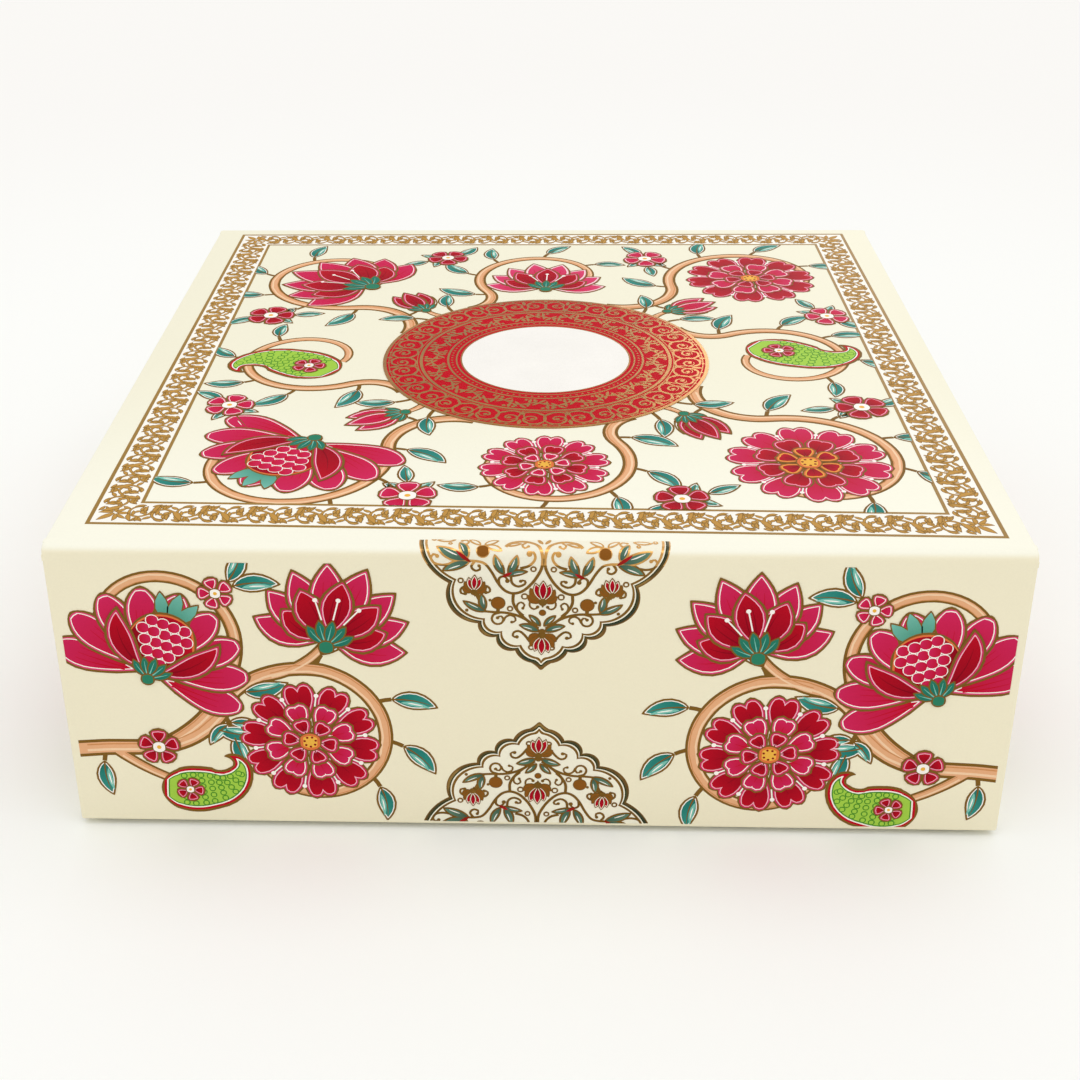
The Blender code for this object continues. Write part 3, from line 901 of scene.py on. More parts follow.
def leaf(art, at, turn, length, bend):
    """A leaf with a white gap inside its outline, a light side and a dark vein."""
    line = walk(at, turn - bend / 2, (length, bend))
    width, side = length * 0.46, math.copysign(1, bend)
    art.lay(line, width, 4, (0, BARK), (0.6, WHITE), (0.9, TEAL_DARK, TEAL), half=almond, steps=10)
    lit = line.aside(side * width * 0.17)
    art.lay(lit.part(0.2, 0.86), width * 0.24, 5, (0, TEAL_LIGHT), half=almond, steps=6)
    art.lay(lit.part(0.34, 0.7), width * 0.07, 5.6, (0, WHITE), half=almond, steps=3)
    art.lay(line.part(0.04, 0.9), 0.5, 5.6, (0, BARK), half=hair, steps=6)


def stalked_leaf(art, at, turn, length, bend):
    """A leaf on a short stalk that comes from under its stem."""
    stalk = walk(at, turn - bend, (2.4 + length * 0.2, bend / 2))
    art.lay(stalk, 1.3, 0.3, (0, BARK), steps=3)
    leaf(art, stalk.points[-1], turn, length, bend)


def trefoil(art, at, turn, length):
    """A stalk with a leaf on each side and one at its end."""
    stalk = walk(at, turn - 12, (2.4 + length * 0.5, 24))
    art.lay(stalk, 1.4, 0.3, (0, BARK), steps=4)
    for share, spread, size in ((0.45, -58, 0.8), (0.5, 58, 0.8), (1.0, 4, 1.0)):
        leaf(art, stalk.at(share)[0], turn + spread, length * size, -spread * 0.6)


def frond(art, at, turn, length, bend, level):
    """A lobed leaf, as on a carved capital."""
    line = walk(at, turn - bend / 2, (length, bend))
    inks = (0, BARK), (0.6, TEAL_DARK, TEAL), (1.3, TEAL_LIGHT, TEAL)
    art.lay(line, length * 0.44, level, *inks, half=acanthus, steps=26)
    art.lay(line.part(0.03, 0.9), 0.6, level + 1, (0, BARK), half=hair, steps=8)
    for share in (0.2, 0.36, 0.52, 0.68):
        point, heading = line.at(share)
        for side in (-1, 1):
            rib = walk(point, facing(heading) + side * 28, (length * 0.13 * (1.2 - share), side * 30))
            art.lay(rib, 0.4, level + 1, (0, BARK), half=hair, steps=3)


def leaves(art, line, *places):
    """Leaves along a stem, each a (share of the way, length, side)."""
    for share, length, side in places:
        point, heading = line.at(share)
        stalked_leaf(art, point, facing(heading) + side * 50, length, -34 * side)


# %% Petals


RED_TINTS, PINK_TINTS = (ROSE, BLUSH, CRIMSON, DEEP), (PINK, WHITE, ROSE, CRIMSON)
ORANGE_TINTS, SHELL_TINTS = (ORANGE, YOLK, CRIMSON, DEEP), (BLUSH, WHITE, PINK, CRIMSON)
PETAL_STEP, NOTCH = 0.7, 6.5


def petal(art, line, width, level, tints, half, veins=2):
    """One petal from its edge inwards: outline, rim, bright line, a core that darkens to the heart, veins."""
    rim, bright, core, heart = tints
    inks = [(0, BARK), (KEY, rim), (KEY + 0.45, bright), (KEY + 0.75, heart, core)]
    art.lay(line, width, level, *inks, half=half)
    for k in range(veins):
        streak = vein(line, width, half, (k + 1) / (veins + 1) * 2 - 1)
        art.lay(streak, 0.45, level + 0.6, (0, heart), half=hair, steps=6)


def vein(line, width, half, share):
    """A line inside a petal that keeps its share of the way from the middle to the edge."""
    points = []
    for k in range(7):
        s = 0.25 + 0.5 * k / 6
        point, heading = line.at(s)
        points.append(point + 1j * heading * share * width / 2 * half(s) * 0.7)
    return Line(points)


def heart_petals(art, at, turn, count, length, level, tints, inner=0.2):
    """A ring of notched petals side by side. Each is two lobes that share their outline and fills."""
    rim, bright, core, heart = tints
    pitch = 2 * math.pi * length * 0.74 / count
    inks = ((0, BARK), (KEY * 0.8, rim), (KEY * 0.8 + 0.45, bright), (KEY * 0.8 + 0.75, heart, core))
    for k in range(count):
        out = turn + 360 * k / count
        root = at + way(out, length * inner)
        for side in (-1, 1):
            lobe = walk(root, out + side * NOTCH, (length * (1 - inner), side * NOTCH * 0.5))
            for band, ink in enumerate(inks):
                art.lay(lobe, pitch * 0.72, level + 0.45 * band, ink, half=round_petal)
        spine = Line([root + way(out, length * 0.1), at + way(out, length * 0.76)])
        art.lay(spine, 0.45, level + 1.8, (0, heart), half=hair, steps=2)


def stamens(art, at, turn, count, near, far, level, spread=360.0):
    """White threads that end in dots."""
    for k in range(count):
        out = turn + spread * (k + 0.5) / count
        art.lay(Line([at + way(out, near), at + way(out, far)]), 0.4, level, (0, WHITE), steps=1)
        art.dot(at + way(out, far), 0.65, level + 0.3, (0, WHITE))


# %% Flowers


def rosette(art, at, turn, radius, outer=RED_TINTS, middle=PINK_TINTS, inner=RED_TINTS):
    """Three rings of notched petals round a seeded heart."""
    heart_petals(art, at, turn, 10, radius, 5, outer)
    stamens(art, at, turn, 10, radius * 0.6, radius * 0.78, 7.4)
    heart_petals(art, at, turn + 18, 8, radius * 0.68, 8.2, middle)
    heart_petals(art, at, turn, 6, radius * 0.42, 11, inner, 0.1)
    art.dot(at, radius * 0.16, 14, (0, BARK), (0.4, ORANGE), (0.4 + radius * 0.04, YOLK), steps=12)
    for k in range(7):
        art.dot(at + way(360 * k / 7 + turn, radius * 0.08), radius * 0.018, 14.8, (0, DEEP), steps=4)


def calyx(art, at, turn, size, level):
    """Green sepals and the cup that hold a flower on its stalk."""
    for k, spread in enumerate((-66, 66, -34, 34, 0)):
        height = level + 0.5 * k
        line = walk(at - way(turn, size * 0.25), turn + spread, (size * 1.1, -spread * 0.4))
        art.lay(line, size * 0.46, height, (0, BARK), (0.45, TEAL_DARK, CALYX), half=pointed, steps=7)
        art.lay(line.part(0.15, 0.8), 0.4, height + 0.4, (0, TEAL_LIGHT), half=hair, steps=3)
    art.dot(at - way(turn, size * 0.32), size * 0.3, level + 3, (0, BARK), (0.45, CALYX), steps=8)


def lotus(art, at, turn, size, back):
    """A lotus from the side, its near petals over the far ones."""
    for k, spread in enumerate((-88, 88, -62, 62, -38, 38, -13, 13)):
        line = walk(at, turn + spread * 1.12, (size * (0.84 + 0.02 * k), -spread * 0.3))
        petal(art, line, size * 0.42, 5 + PETAL_STEP * k, back, pointed)
    level = 5 + 8 * PETAL_STEP
    for k, spread in enumerate((-70, 70, -40, 40, 0)):
        line = walk(at, turn + spread * 1.15, (size * (0.62 + 0.035 * k), -spread * 0.4))
        petal(art, line, size * 0.39, level + PETAL_STEP * k, RED_TINTS, pointed)
    stamens(art, at, turn - 42, 3, size * 0.25, size * 0.5, level + 3.9, 84)
    calyx(art, at, turn, size * 0.3, level + 4.4)


def bud(art, at, turn, size, tints):
    for k, spread in enumerate((-30, 30, 0)):
        line = walk(at, turn + spread, (size * (0.92 + 0.04 * k), -spread * 0.9))
        petal(art, line, size * 0.46, 5 + PETAL_STEP * k, tints, almond, 1)
    calyx(art, at, turn, size * 0.34, 8)


def blossom(art, at, turn, radius, tints=RED_TINTS):
    """A small flower for the places where stems meet."""
    rim, bright, core, heart = tints
    fine = min(1.0, radius / 6)
    inks = (0, BARK), (0.65 * fine, rim), (fine, bright), (1.25 * fine, heart, core)
    for k in range(5):
        line = walk(at, turn + 72 * k, (radius, 0))
        for band, ink in enumerate(inks):
            art.lay(line, 0.9 * radius, 12 + 0.45 * band, ink, half=round_petal)
    art.dot(at, radius * 0.32, 14.4, (0, BARK), (0.35, WHITE), steps=10)
    art.dot(at, radius * 0.1, 15, (0, YOLK), steps=6)


def pomegranate(art, at, turn, size):
    """A cut fruit in a husk of petals, with rows of seeds and a crown."""
    for k, spread in enumerate((-96, 96, -72, 72, -48, 48, -24, 24, 0)):
        line = walk(at, turn + spread * 1.05, (size, -spread * 0.18))
        petal(art, line, size * 0.38, 5 + PETAL_STEP * k, PINK_TINTS, round_petal, 3)
    level = 5 + 9 * PETAL_STEP
    for spread in (-40, 40, 0):
        line = walk(at + way(turn, size * 0.6), turn + spread, (size * 0.4, -spread * 0.5))
        art.lay(line, size * 0.16, level + 0.1, (0, BARK), (0.4, CALYX, TEAL_LIGHT), half=pointed, steps=6)
    heart = at + way(turn, size * 0.4)
    art.dot(heart, size * 0.34, level + 0.8, (0, BARK), (0.7, ORANGE), (1.3, CRIMSON, DEEP), steps=16)
    for row, count in enumerate((4, 5, 4, 3, 2)):
        middle = heart + way(turn, (1.7 - row) * size * 0.115)
        for k in range(count):
            seed = middle + way(turn + 90, (k - (count - 1) / 2) * size * 0.112)
            art.dot(seed, size * 0.068, level + 2 + 0.6 * row, (0, WHITE), (0.28, ROSE, CRIMSON), steps=7)
    for spread in (-74, 74):
        line = walk(at, turn + spread, (size * 0.86, -spread * 0.9))
        petal(art, line, size * 0.3, level + 5.6, RED_TINTS, pointed, 1)
    calyx(art, at, turn, size * 0.24, level + 7.4)


def mango_leaf(art, at, turn, size, side=1):
    """A paisley: a mango with a curled tip, green scales inside and a blossom at its broad end."""
    line = walk(at, turn, (size * 0.62, 14 * side), (size * 0.42, 70 * side), (size * 0.3, 120 * side))
    inks = (0, BARK), (0.8, CRIMSON), (1.5, WHITE), (1.9, LIME_DARK), (2.3, LIME)
    art.lay(line, size * 0.6, 5, *inks, half=mango, steps=34)
    for row in range(9):
        share = 0.80 - 0.075 * row
        point, heading = line.at(share)
        reach = max(0.0, size * 0.3 * mango(share) - 3.0)
        count = 1 + int(reach / (size * 0.035)) if reach > 0.4 else 0
        for k in range(count):
            aside = (k - (count - 1) / 2) / max(1, (count - 1) / 2) * reach if count > 1 else 0.0
            spot = point + 1j * heading * aside
            art.dot(spot, size * 0.038, 6.2 + 0.35 * row, (0, LIME_DARK), (0.35, LIME), steps=6)
    blossom(art, line.at(0.24)[0], turn, size * 0.17)


# %% [markdown]
# The ring. A red band with two rows of gold scrollwork runs round a plain white disc, with gold circles
# between the rows. The circles could be prints too, but a small profile that is spun stays rounder with
# fewer faces. The scrollwork is drawn straight and wrapped round, as a straight unit is easier to draw.

# %% Spun circles
RING_AT = complex(2.4, -3.4)
RING_OUT, RING_MID, RING_IN, DISC_OUT = 52.4, 40.1, 31.4, 27.0
RED_LEVEL, DISC_LEVEL, WIRE_LEVEL, SCROLL_LEVEL, DOT_LEVEL = 9, 9.6, 10.4, 10.5, 10.6
PINHOLE, UNDER_DISC, UNDER_RIM, MERGE = 0.02, 0.4, 0.6, 1e-7


def spun_ring(name, inner, outer, height, material, tint=None, turns=144):
    """A flat ring with a rectangular section. One whose hole is too small to see is a disc."""
    made = bmesh.new()
    middle = Vector((RING_AT.real, RING_AT.imag, 0))
    reach = [(inner, height), (outer, height), (outer, -SINK), (inner, -SINK)]
    rim = [made.verts.new((middle + Vector((r, 0, z))) * MM) for r, z in reach]
    profile = [made.edges.new(pair) for pair in zip(rim, rim[1:] + rim[:1])]
    bmesh.ops.spin(
        made, geom=rim + profile, cent=middle * MM, axis=(0, 0, 1), angle=2 * math.pi, steps=turns,
        use_merge=True,
    )
    bmesh.ops.remove_doubles(made, verts=made.verts, dist=MERGE)
    bmesh.ops.recalc_face_normals(made, faces=made.faces)
    bmesh.ops.translate(made, vec=(0, 0, TOP), verts=made.verts)
    piece = new_piece(made, name, material)
    if tint:
        for value in piece.data.color_attributes.new("ink", "FLOAT_COLOR", "POINT").data:
            value.color = tint
    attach(piece, "lid")


def ring_circles():
    inner, outer = DISC_OUT - UNDER_DISC, RING_OUT - UNDER_RIM
    spun_ring("lid_ring_red", inner, outer, RED_LEVEL * LEVEL, INK, colour("C00C20"))
    spun_ring("lid_disc_white", PINHOLE, DISC_OUT, DISC_LEVEL * LEVEL, INK, colour("F4F2EC"), 96)
    for name, radius, width in (
        ("rim", RING_OUT - 0.55, 1.1), ("rim_fine", RING_OUT - 1.9, 0.3), ("middle", RING_MID, 1.0),
        ("middle_fine", RING_MID + 1.2, 0.3), ("inner", RING_IN, 0.7), ("inner_fine", 28.7, 0.5),
        ("edge", DISC_OUT + 0.15, 0.5),
    ):
        spun_ring("lid_circle_" + name, radius - width / 2, radius + width / 2, WIRE_LEVEL * LEVEL, FOIL)


ring_circles()

# %% Scrollwork
GOLD = colour("B48A3C")
UNITS, BEADS, BEAD_RADIUS = 20, 96, 30.1


def gold(art, line, width, half=taper, steps=8):
    art.lay(line, width, SCROLL_LEVEL, (0, GOLD), half=half, steps=steps)


def gold_leaf(art, at, turn, length, width, bend=0.0):
    gold(art, walk(at, turn - bend / 2, (length, bend)), width, almond, 5)


def ring_print(radius):
    """A print whose unit, drawn from 0 to length along +X, is laid again and again round a circle."""
    length = 2 * math.pi * radius / UNITS

    def setter(k):
        return lambda p: RING_AT + way(360 * (k + p.real / length) / UNITS, radius + p.imag)

    return Print(*[setter(k) for k in range(UNITS)], chain=True), length


def outer_scroll():
    """Two spirals back to back, with a bud between them."""
    art, length = ring_print((RING_OUT + RING_MID) / 2 - 0.2)
    for side in (1, -1):
        middle = complex(length / 2, 0)
        eye = middle + complex(side * 3.5, 0.3)
        start = middle + complex(side * 0.6, -3.7)
        gold(art, curl(eye, start, 0.9, side * 520), 0.66, even, 34)
        gold(art, walk(start, 90 + side * 2, (4.2, -side * 24), (3.4, -side * 95)), 0.62)
        gold_leaf(art, middle + complex(side * 5.0, -3.6), 90 - side * 60, 2.8, 1.1, side * 30)
        gold_leaf(art, middle + complex(side * 6.4, 2.4), 90 + side * 40, 2.4, 1.0)
        gold_leaf(art, middle + complex(side * 6.6, 3.4), 90 - side * 30, 2.2, 0.9)
        gold_leaf(art, middle + complex(side * 1.0, 1.6), 90 - side * 38, 2.8, 1.0, side * 20)
        art.dot(eye, 0.7, DOT_LEVEL, (0, GOLD))
        art.dot(middle + complex(side * 3.3, 4.5), 0.5, DOT_LEVEL, (0, GOLD))
    gold_leaf(art, complex(length / 2, 1.0), 90, 3.8, 1.3)
    gold_leaf(art, complex(length / 2, -4.8), 90, 2.8, 1.0)
    return art


def inner_scroll():
    """A waving stem with paired leaves and berries."""
    art, length = ring_print((RING_MID + RING_IN) / 2)
    wave = Line([complex(length * k / 16, math.sin(2 * math.pi * k / 16)) for k in range(17)])
    gold(art, wave, 0.6, even, 16)
    for share, side in ((0.08, 1), (0.33, 1), (0.58, -1), (0.83, -1)):
        point, heading = wave.at(share)
        turn = facing(heading)
        gold_leaf(art, point, turn + side * 62, 3.4, 1.15, -side * 30)
        gold_leaf(art, point, turn - side * 118, 2.8, 1.0, side * 30)
        gold_leaf(art, point + heading * 0.8, turn + side * 20, 2.6, 0.85)
    for share, side in ((0.2, 1), (0.45, -1), (0.7, -1), (0.95, 1)):
        art.dot(complex(length * share, side * 2.8), 0.62, DOT_LEVEL, (0, GOLD))
    return art


for name, art in (("lid_ring_scroll", outer_scroll()), ("lid_ring_stem", inner_scroll())):
    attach(art.raise_on(name, on_lid, FOIL), "lid")
bead_art = Print(*[lambda p, k=k: RING_AT + way(360 / BEADS * k, BEAD_RADIUS) + p for k in range(BEADS)])
bead_art.dot(0j, 0.36, DOT_LEVEL, (0, GOLD))
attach(bead_art.raise_on("lid_ring_beads", on_lid, FOIL), "lid")

# %% [markdown]
# The frame of the lid: two gold lines and between them a dense scroll of leaves. One period of the
# scroll is drawn and laid again and again along each side, and the four sides are turns of one another.
# The real sheet is glued a little askew, so the square is stretched to the corners in the photograph.

# %% The frame
HALF = RIGHT / MM
FRAME_OUT, FRAME_IN = HALF - 7.7, HALF - 19.8
FRAME_MIDDLE = (FRAME_OUT + FRAME_IN) / 2
FRAME_CORNERS = [
    complex(x, y) for x, y in ((-118.0, -114.4), (120.6, -118.8), (117.3, 120.6), (-116.9, 119.9))
]
PERIODS, CORNER_ROOM = 17, 3.2


def askew(p):
    """Where a point of the square drawing lies on the lid, as the sheet is glued a little askew."""
    s, t = p.real / FRAME_OUT, p.imag / FRAME_OUT
    shares = ((1 - s) * (1 - t), (1 + s) * (1 - t), (1 + s) * (1 + t), (1 - s) * (1 + t))
    return sum(corner * share / 4 for corner, share in zip(FRAME_CORNERS, shares))


def on_frame(u, v, height):
    p = askew(complex(u, v) / MM) * MM
    return on_lid(p.real, p.imag, height)


def frame_clip():
    """Cutting lines along the frame's inner line, as it lies on the lid."""
    corners = [askew(FRAME_IN * complex(s, t)) for s, t in ((-1, -1), (1, -1), (1, 1), (-1, 1))]
    return [(a, -1j * (b - a) / abs(b - a)) for a, b in zip(corners, corners[1:] + corners[:1])]


def quarter_turns():
    return [lambda p, k=k: p * 1j**k for k in range(4)]


def mitred(art, distance, width, level, tint):
    """One side of a square line, its ends cut to meet the next side."""
    outer, inner = distance + width / 2, distance - width / 2
    ends = [(complex(s * inner, -inner), complex(s * outer, -outer)) for s in (-1, 1)]
    art.add(ends, level * LEVEL, tint, tint)


GOLD_EDGE, GOLD_INK = colour("8A6A34"), colour("C0924A")
SCROLL_LEAVES = (
    (0.44, -1.2, 62, 6.2, 2.0, 26), (0.42, -1.0, 122, 3.8, 1.5, -30), (0.25, -2.1, -58, 3.2, 1.3, 24),
    (0.25, -2.1, -122, 3.2, 1.3, -24), (0.24, -2.0, -90, 2.8, 1.1, 0), (0.27, 1.2, 215, 2.1, 1.2, 20),
    (0.27, 1.2, 330, 2.3, 1.2, -20), (0.10, 3.4, 14, 3.4, 1.3, -34), (0.33, 4.3, 190, 2.8, 1.1, 30),
    (0.04, -0.4, -74, 4.6, 1.5, 34), (0.13, -1.4, 96, 2.8, 1.2, 30), (0.36, 0.8, 84, 3.2, 1.2, -36),
    (0.13, -4.0, 8, 2.6, 1.0, 24), (0.47, 3.6, 28, 2.8, 1.2, 30), (0.04, 2.2, 146, 2.8, 1.3, -24),
    (0.36, -3.9, 176, 2.4, 0.9, -24), (0.27, 1.2, 82, 2.0, 1.1, 0),
)


def edged(art, line, width, half, steps):
    """Gold ink with a darker line round it."""
    art.lay(line, width, 1.2, (0, GOLD_EDGE), (0.2, GOLD_INK), half=half, steps=steps)


def frame_scroll(sides):
    """The scroll on some of the frame's sides. Its second half period is the first, upside down."""
    start = CORNER_ROOM - FRAME_MIDDLE
    length = -2 * start / PERIODS

    def setter(k, n):
        return lambda p: (p + complex(start + n * length, -FRAME_MIDDLE)) * 1j**k

    art = Print(*[setter(k, n) for k in sides for n in range(PERIODS)], chain=True)
    for half_turn, shift in ((1, 0), (-1, length / 2)):
        def spot(x, y):
            return complex(x + shift, y * half_turn)

        wave = Line([spot(length / 2 * k / 8, -2.1 * math.sin(math.pi * k / 8)) for k in range(9)])
        edged(art, wave, 0.85, even, 6)
        eye = spot(length * 0.27, 1.2)
        tendril = curl(eye, spot(length * 0.27 - 2.9, -0.4), 1.1, -half_turn * 265)
        edged(art, tendril, 0.95, taper, 12)
        for x, y, turn, size, width, bend in SCROLL_LEAVES:
            line = walk(spot(x * length, y), (turn - bend / 2) * half_turn, (size, bend * half_turn))
            edged(art, line, width, almond, 5)
        art.dot(tendril.points[-1], 0.75, 1.2, (0, GOLD_EDGE), (0.2, GOLD_INK), steps=6)
    return art


def frame_corner():
    """A spray of leaves that points into each corner."""
    corner = complex(-FRAME_MIDDLE, -FRAME_MIDDLE)
    art = Print(*[lambda p, k=k: (p + corner) * 1j**k for k in range(4)], chain=True)
    for turn, near, size, width, bend in (
        (0, 0.4, 4.0, 1.5, 20), (90, 0.4, 4.0, 1.5, -20), (45, 0.2, 3.6, 1.4, 0), (-42, 0.6, 4.4, 1.4, 40),
        (132, 0.6, 4.4, 1.4, -40), (180, 0.6, 4.2, 1.5, 50), (270, 0.6, 4.2, 1.5, -50),
        (225, 0.2, 5.8, 2.1, 0),
    ):
        edged(art, walk(way(turn, near), turn - bend / 2, (size, bend)), width, almond, 7)
    return art


lines, strip = Print(*quarter_turns()), Print(*quarter_turns())
mitred(lines, FRAME_OUT, 1.1, 2.4, GOLD)
mitred(lines, FRAME_IN, 1.0, 2.4, GOLD)
mitred(strip, FRAME_MIDDLE, FRAME_OUT - FRAME_IN, 0.6, colour("FBF8EE"))
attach(lines.raise_on("lid_frame_lines", on_frame, OCHRE), "lid")
for name, sides in (("front_and_back", (0, 2)), ("left_and_right", (1, 3))):
    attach(frame_scroll(sides).raise_on("lid_scroll_" + name, on_frame, INK), "lid")
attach(frame_corner().raise_on("lid_frame_corners", on_frame, INK), "lid")
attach(strip.raise_on("lid_frame_ground", on_frame, INK), "lid")

# %% [markdown]
# The lid's field. Stems leave the ring along its edge and roll up into scrolls, one in each corner and
# one at each side. The stems of the four quarters are alike, so they are drawn once and turned. Each
# scroll holds a flower or a mango, and these change from quarter to quarter, or the lid would look stamped.

# %% The lid's field
CORNER_LEAVES = (
    (0.1, 16, -1), (0.22, 15, 1), (0.33, 15, 1), (0.43, 14, 1), (0.54, 14, 1), (0.66, 14, 1),
)
SIDE_LEAVES = ((0.14, 15, 1), (0.3, 14, 1), (0.42, 13, 1), (0.56, 13, 1), (0.7, 12, 1))


def lid_scrolls():
    """The stems of one quarter: one rolls up in the corner and one at the side."""
    corner, side = complex(74, 74), complex(0, 76)
    first = corner + way(192, 30)
    corner_stem = arc_to(way(66, 51), first, 102).join(curl(corner, first, 12, -345))
    first = side + way(214, 25.5)
    side_stem = arc_to(way(121, 51), first, 124).join(curl(side, first, 11, -320))
    return corner_stem, side_stem


def corner_flower(art, kind):
    if kind == "rosette":
        rosette(art, complex(74, 74), 10, 23.5)
    elif kind == "pale_rosette":
        rosette(art, complex(74, 74), 4, 23.5, PINK_TINTS, RED_TINTS, ORANGE_TINTS)
    elif kind == "lotus":
        lotus(art, complex(67, 65), 52, 33, PINK_TINTS)
    else:
        pomegranate(art, complex(68, 62), 62, 32)


def side_flower(art, kind):
    if kind == "lotus":
        lotus(art, complex(0, 65), 88, 26, SHELL_TINTS)
    elif kind == "rosette":
        rosette(art, complex(0, 76), 12, 19, PINK_TINTS, RED_TINTS, PINK_TINTS)
    else:
        mango_leaf(art, complex(-13, 67), 50, 34)


def lid_twigs(art, tints):
    """What grows between the scrolls: a bud with two leaves at the ring, and blossoms at the frame."""
    twig = walk(way(44, 51), 62, (10, -34))
    vine(art, twig, 3.2)
    bud(art, twig.points[-1], 28, 18, tints)
    stalked_leaf(art, way(38, 52), 2, 13, -30)
    stalked_leaf(art, way(50, 52), 96, 13, 30)
    for node, turn, size in ((complex(37, 95), 200, 8.5), (complex(96, 37), 40, 8.0)):
        blossom(art, node, turn, size, tints)
        trefoil(art, node, turn + 75, 11)
        stalked_leaf(art, node, turn - 75, 12, 24)


def put_field():
    """Each quarter's print: its stems first, then the flowers over them, leaves and twigs."""
    corner_stem, side_stem = lid_scrolls()
    for k, (corner, side, tints) in enumerate((
        ("rosette", "lotus", PINK_TINTS), ("lotus", "mango", RED_TINTS),
        ("pomegranate", "rosette", PINK_TINTS), ("pale_rosette", "mango", RED_TINTS),
    )):
        art = Print(lambda p: RING_AT + p * 1j**k)
        vine(art, corner_stem, 5.2)
        vine(art, side_stem, 4.8)
        corner_flower(art, corner)
        side_flower(art, side)
        leaves(art, corner_stem, *CORNER_LEAVES)
        leaves(art, side_stem, *SIDE_LEAVES)
        lid_twigs(art, tints)
        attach(art.raise_on("lid_field_" + str(k + 1), on_lid, INK, frame_clip()), "lid")


put_field()

# %% [markdown]
# The medallions on the flap. Each is a scalloped ogee, an old shape of carved niches, drawn as nested
# fills from its outline inwards: a gold line, a streaked band, a dark line, a pale one, gold again, and
# the pale ground that holds lotuses, sprigs and curls. Each fill moves its cusps inwards, because a copy
# made smaller would leave lines of uneven width. The upper medallion runs on over the fold.

# %% The medallion's outline
SCALLOPS = (
    (2.6, 2.6, -0.2), (6.9, 6.3, 0.8), (11.9, 10.4, 1.8), (16.7, 14.4, 1.7), (24.4, 26.4, 3.7),
    (32.0, 41.6, 2.6),
)
UPPER_TIP, LOWER_TIP = 51.8, 35.9
SHEET_TURN, SHEET_MOVE = -1.2, complex(1.55, 0.42)


def hung(p):
    """The flap's print hangs a little askew too: turned about the flap's middle and moved."""
    middle = complex(0, 44)
    return middle + (p - middle) * way(SHEET_TURN) + SHEET_MOVE


def medallion_outline(shrink):
    """The right half, from the tip outwards, through cusps (x, y) with the rise of each arc between them.

    Drawn in, each cusp moves inwards and the arcs keep their rise, so the line stays as deeply scalloped.
    """
    cusps = [0j, *(complex(x, y) for x, y, _ in SCALLOPS)]
    inward = [1j * (b - a) / abs(b - a) for a, b in zip(cusps, cusps[1:])]
    inward = [1.5j, *((a + b) / abs(a + b) * 1.15 for a, b in zip(inward, inward[1:])), -1 + 0j]
    cusps = [cusp + shrink * way_in for cusp, way_in in zip(cusps, inward)]
    points = []
    for start, end, (_, _, rise) in zip(cusps, cusps[1:], SCALLOPS):
        arrive = cmath.phase(end - start) + 2 * math.atan(2 * rise / abs(end - start))
        points += arc_to(start, end, math.degrees(arrive)).points[:-1]
    return [*points, cusps[-1]]


def medallion_fill(art, shrink, level, tint):
    """A strip from the axis to the outline. The maps lay its mirror image beside it."""
    points = medallion_outline(shrink)
    low, rise = points[0].imag, points[-1].imag - points[0].imag
    pairs = [(complex(0, low + rise * k / (len(points) - 1)), p) for k, p in enumerate(points)]
    art.add(pairs[1:], level * LEVEL, tint, tint)


def medallion_maps(mirrored):
    maps = [lambda p: hung(p + 1j * UPPER_TIP), lambda p: hung(p.conjugate() + 1j * LOWER_TIP)]
    if mirrored:
        maps += [lambda p, put=put: put(-p.conjugate()) for put in maps]
    return maps


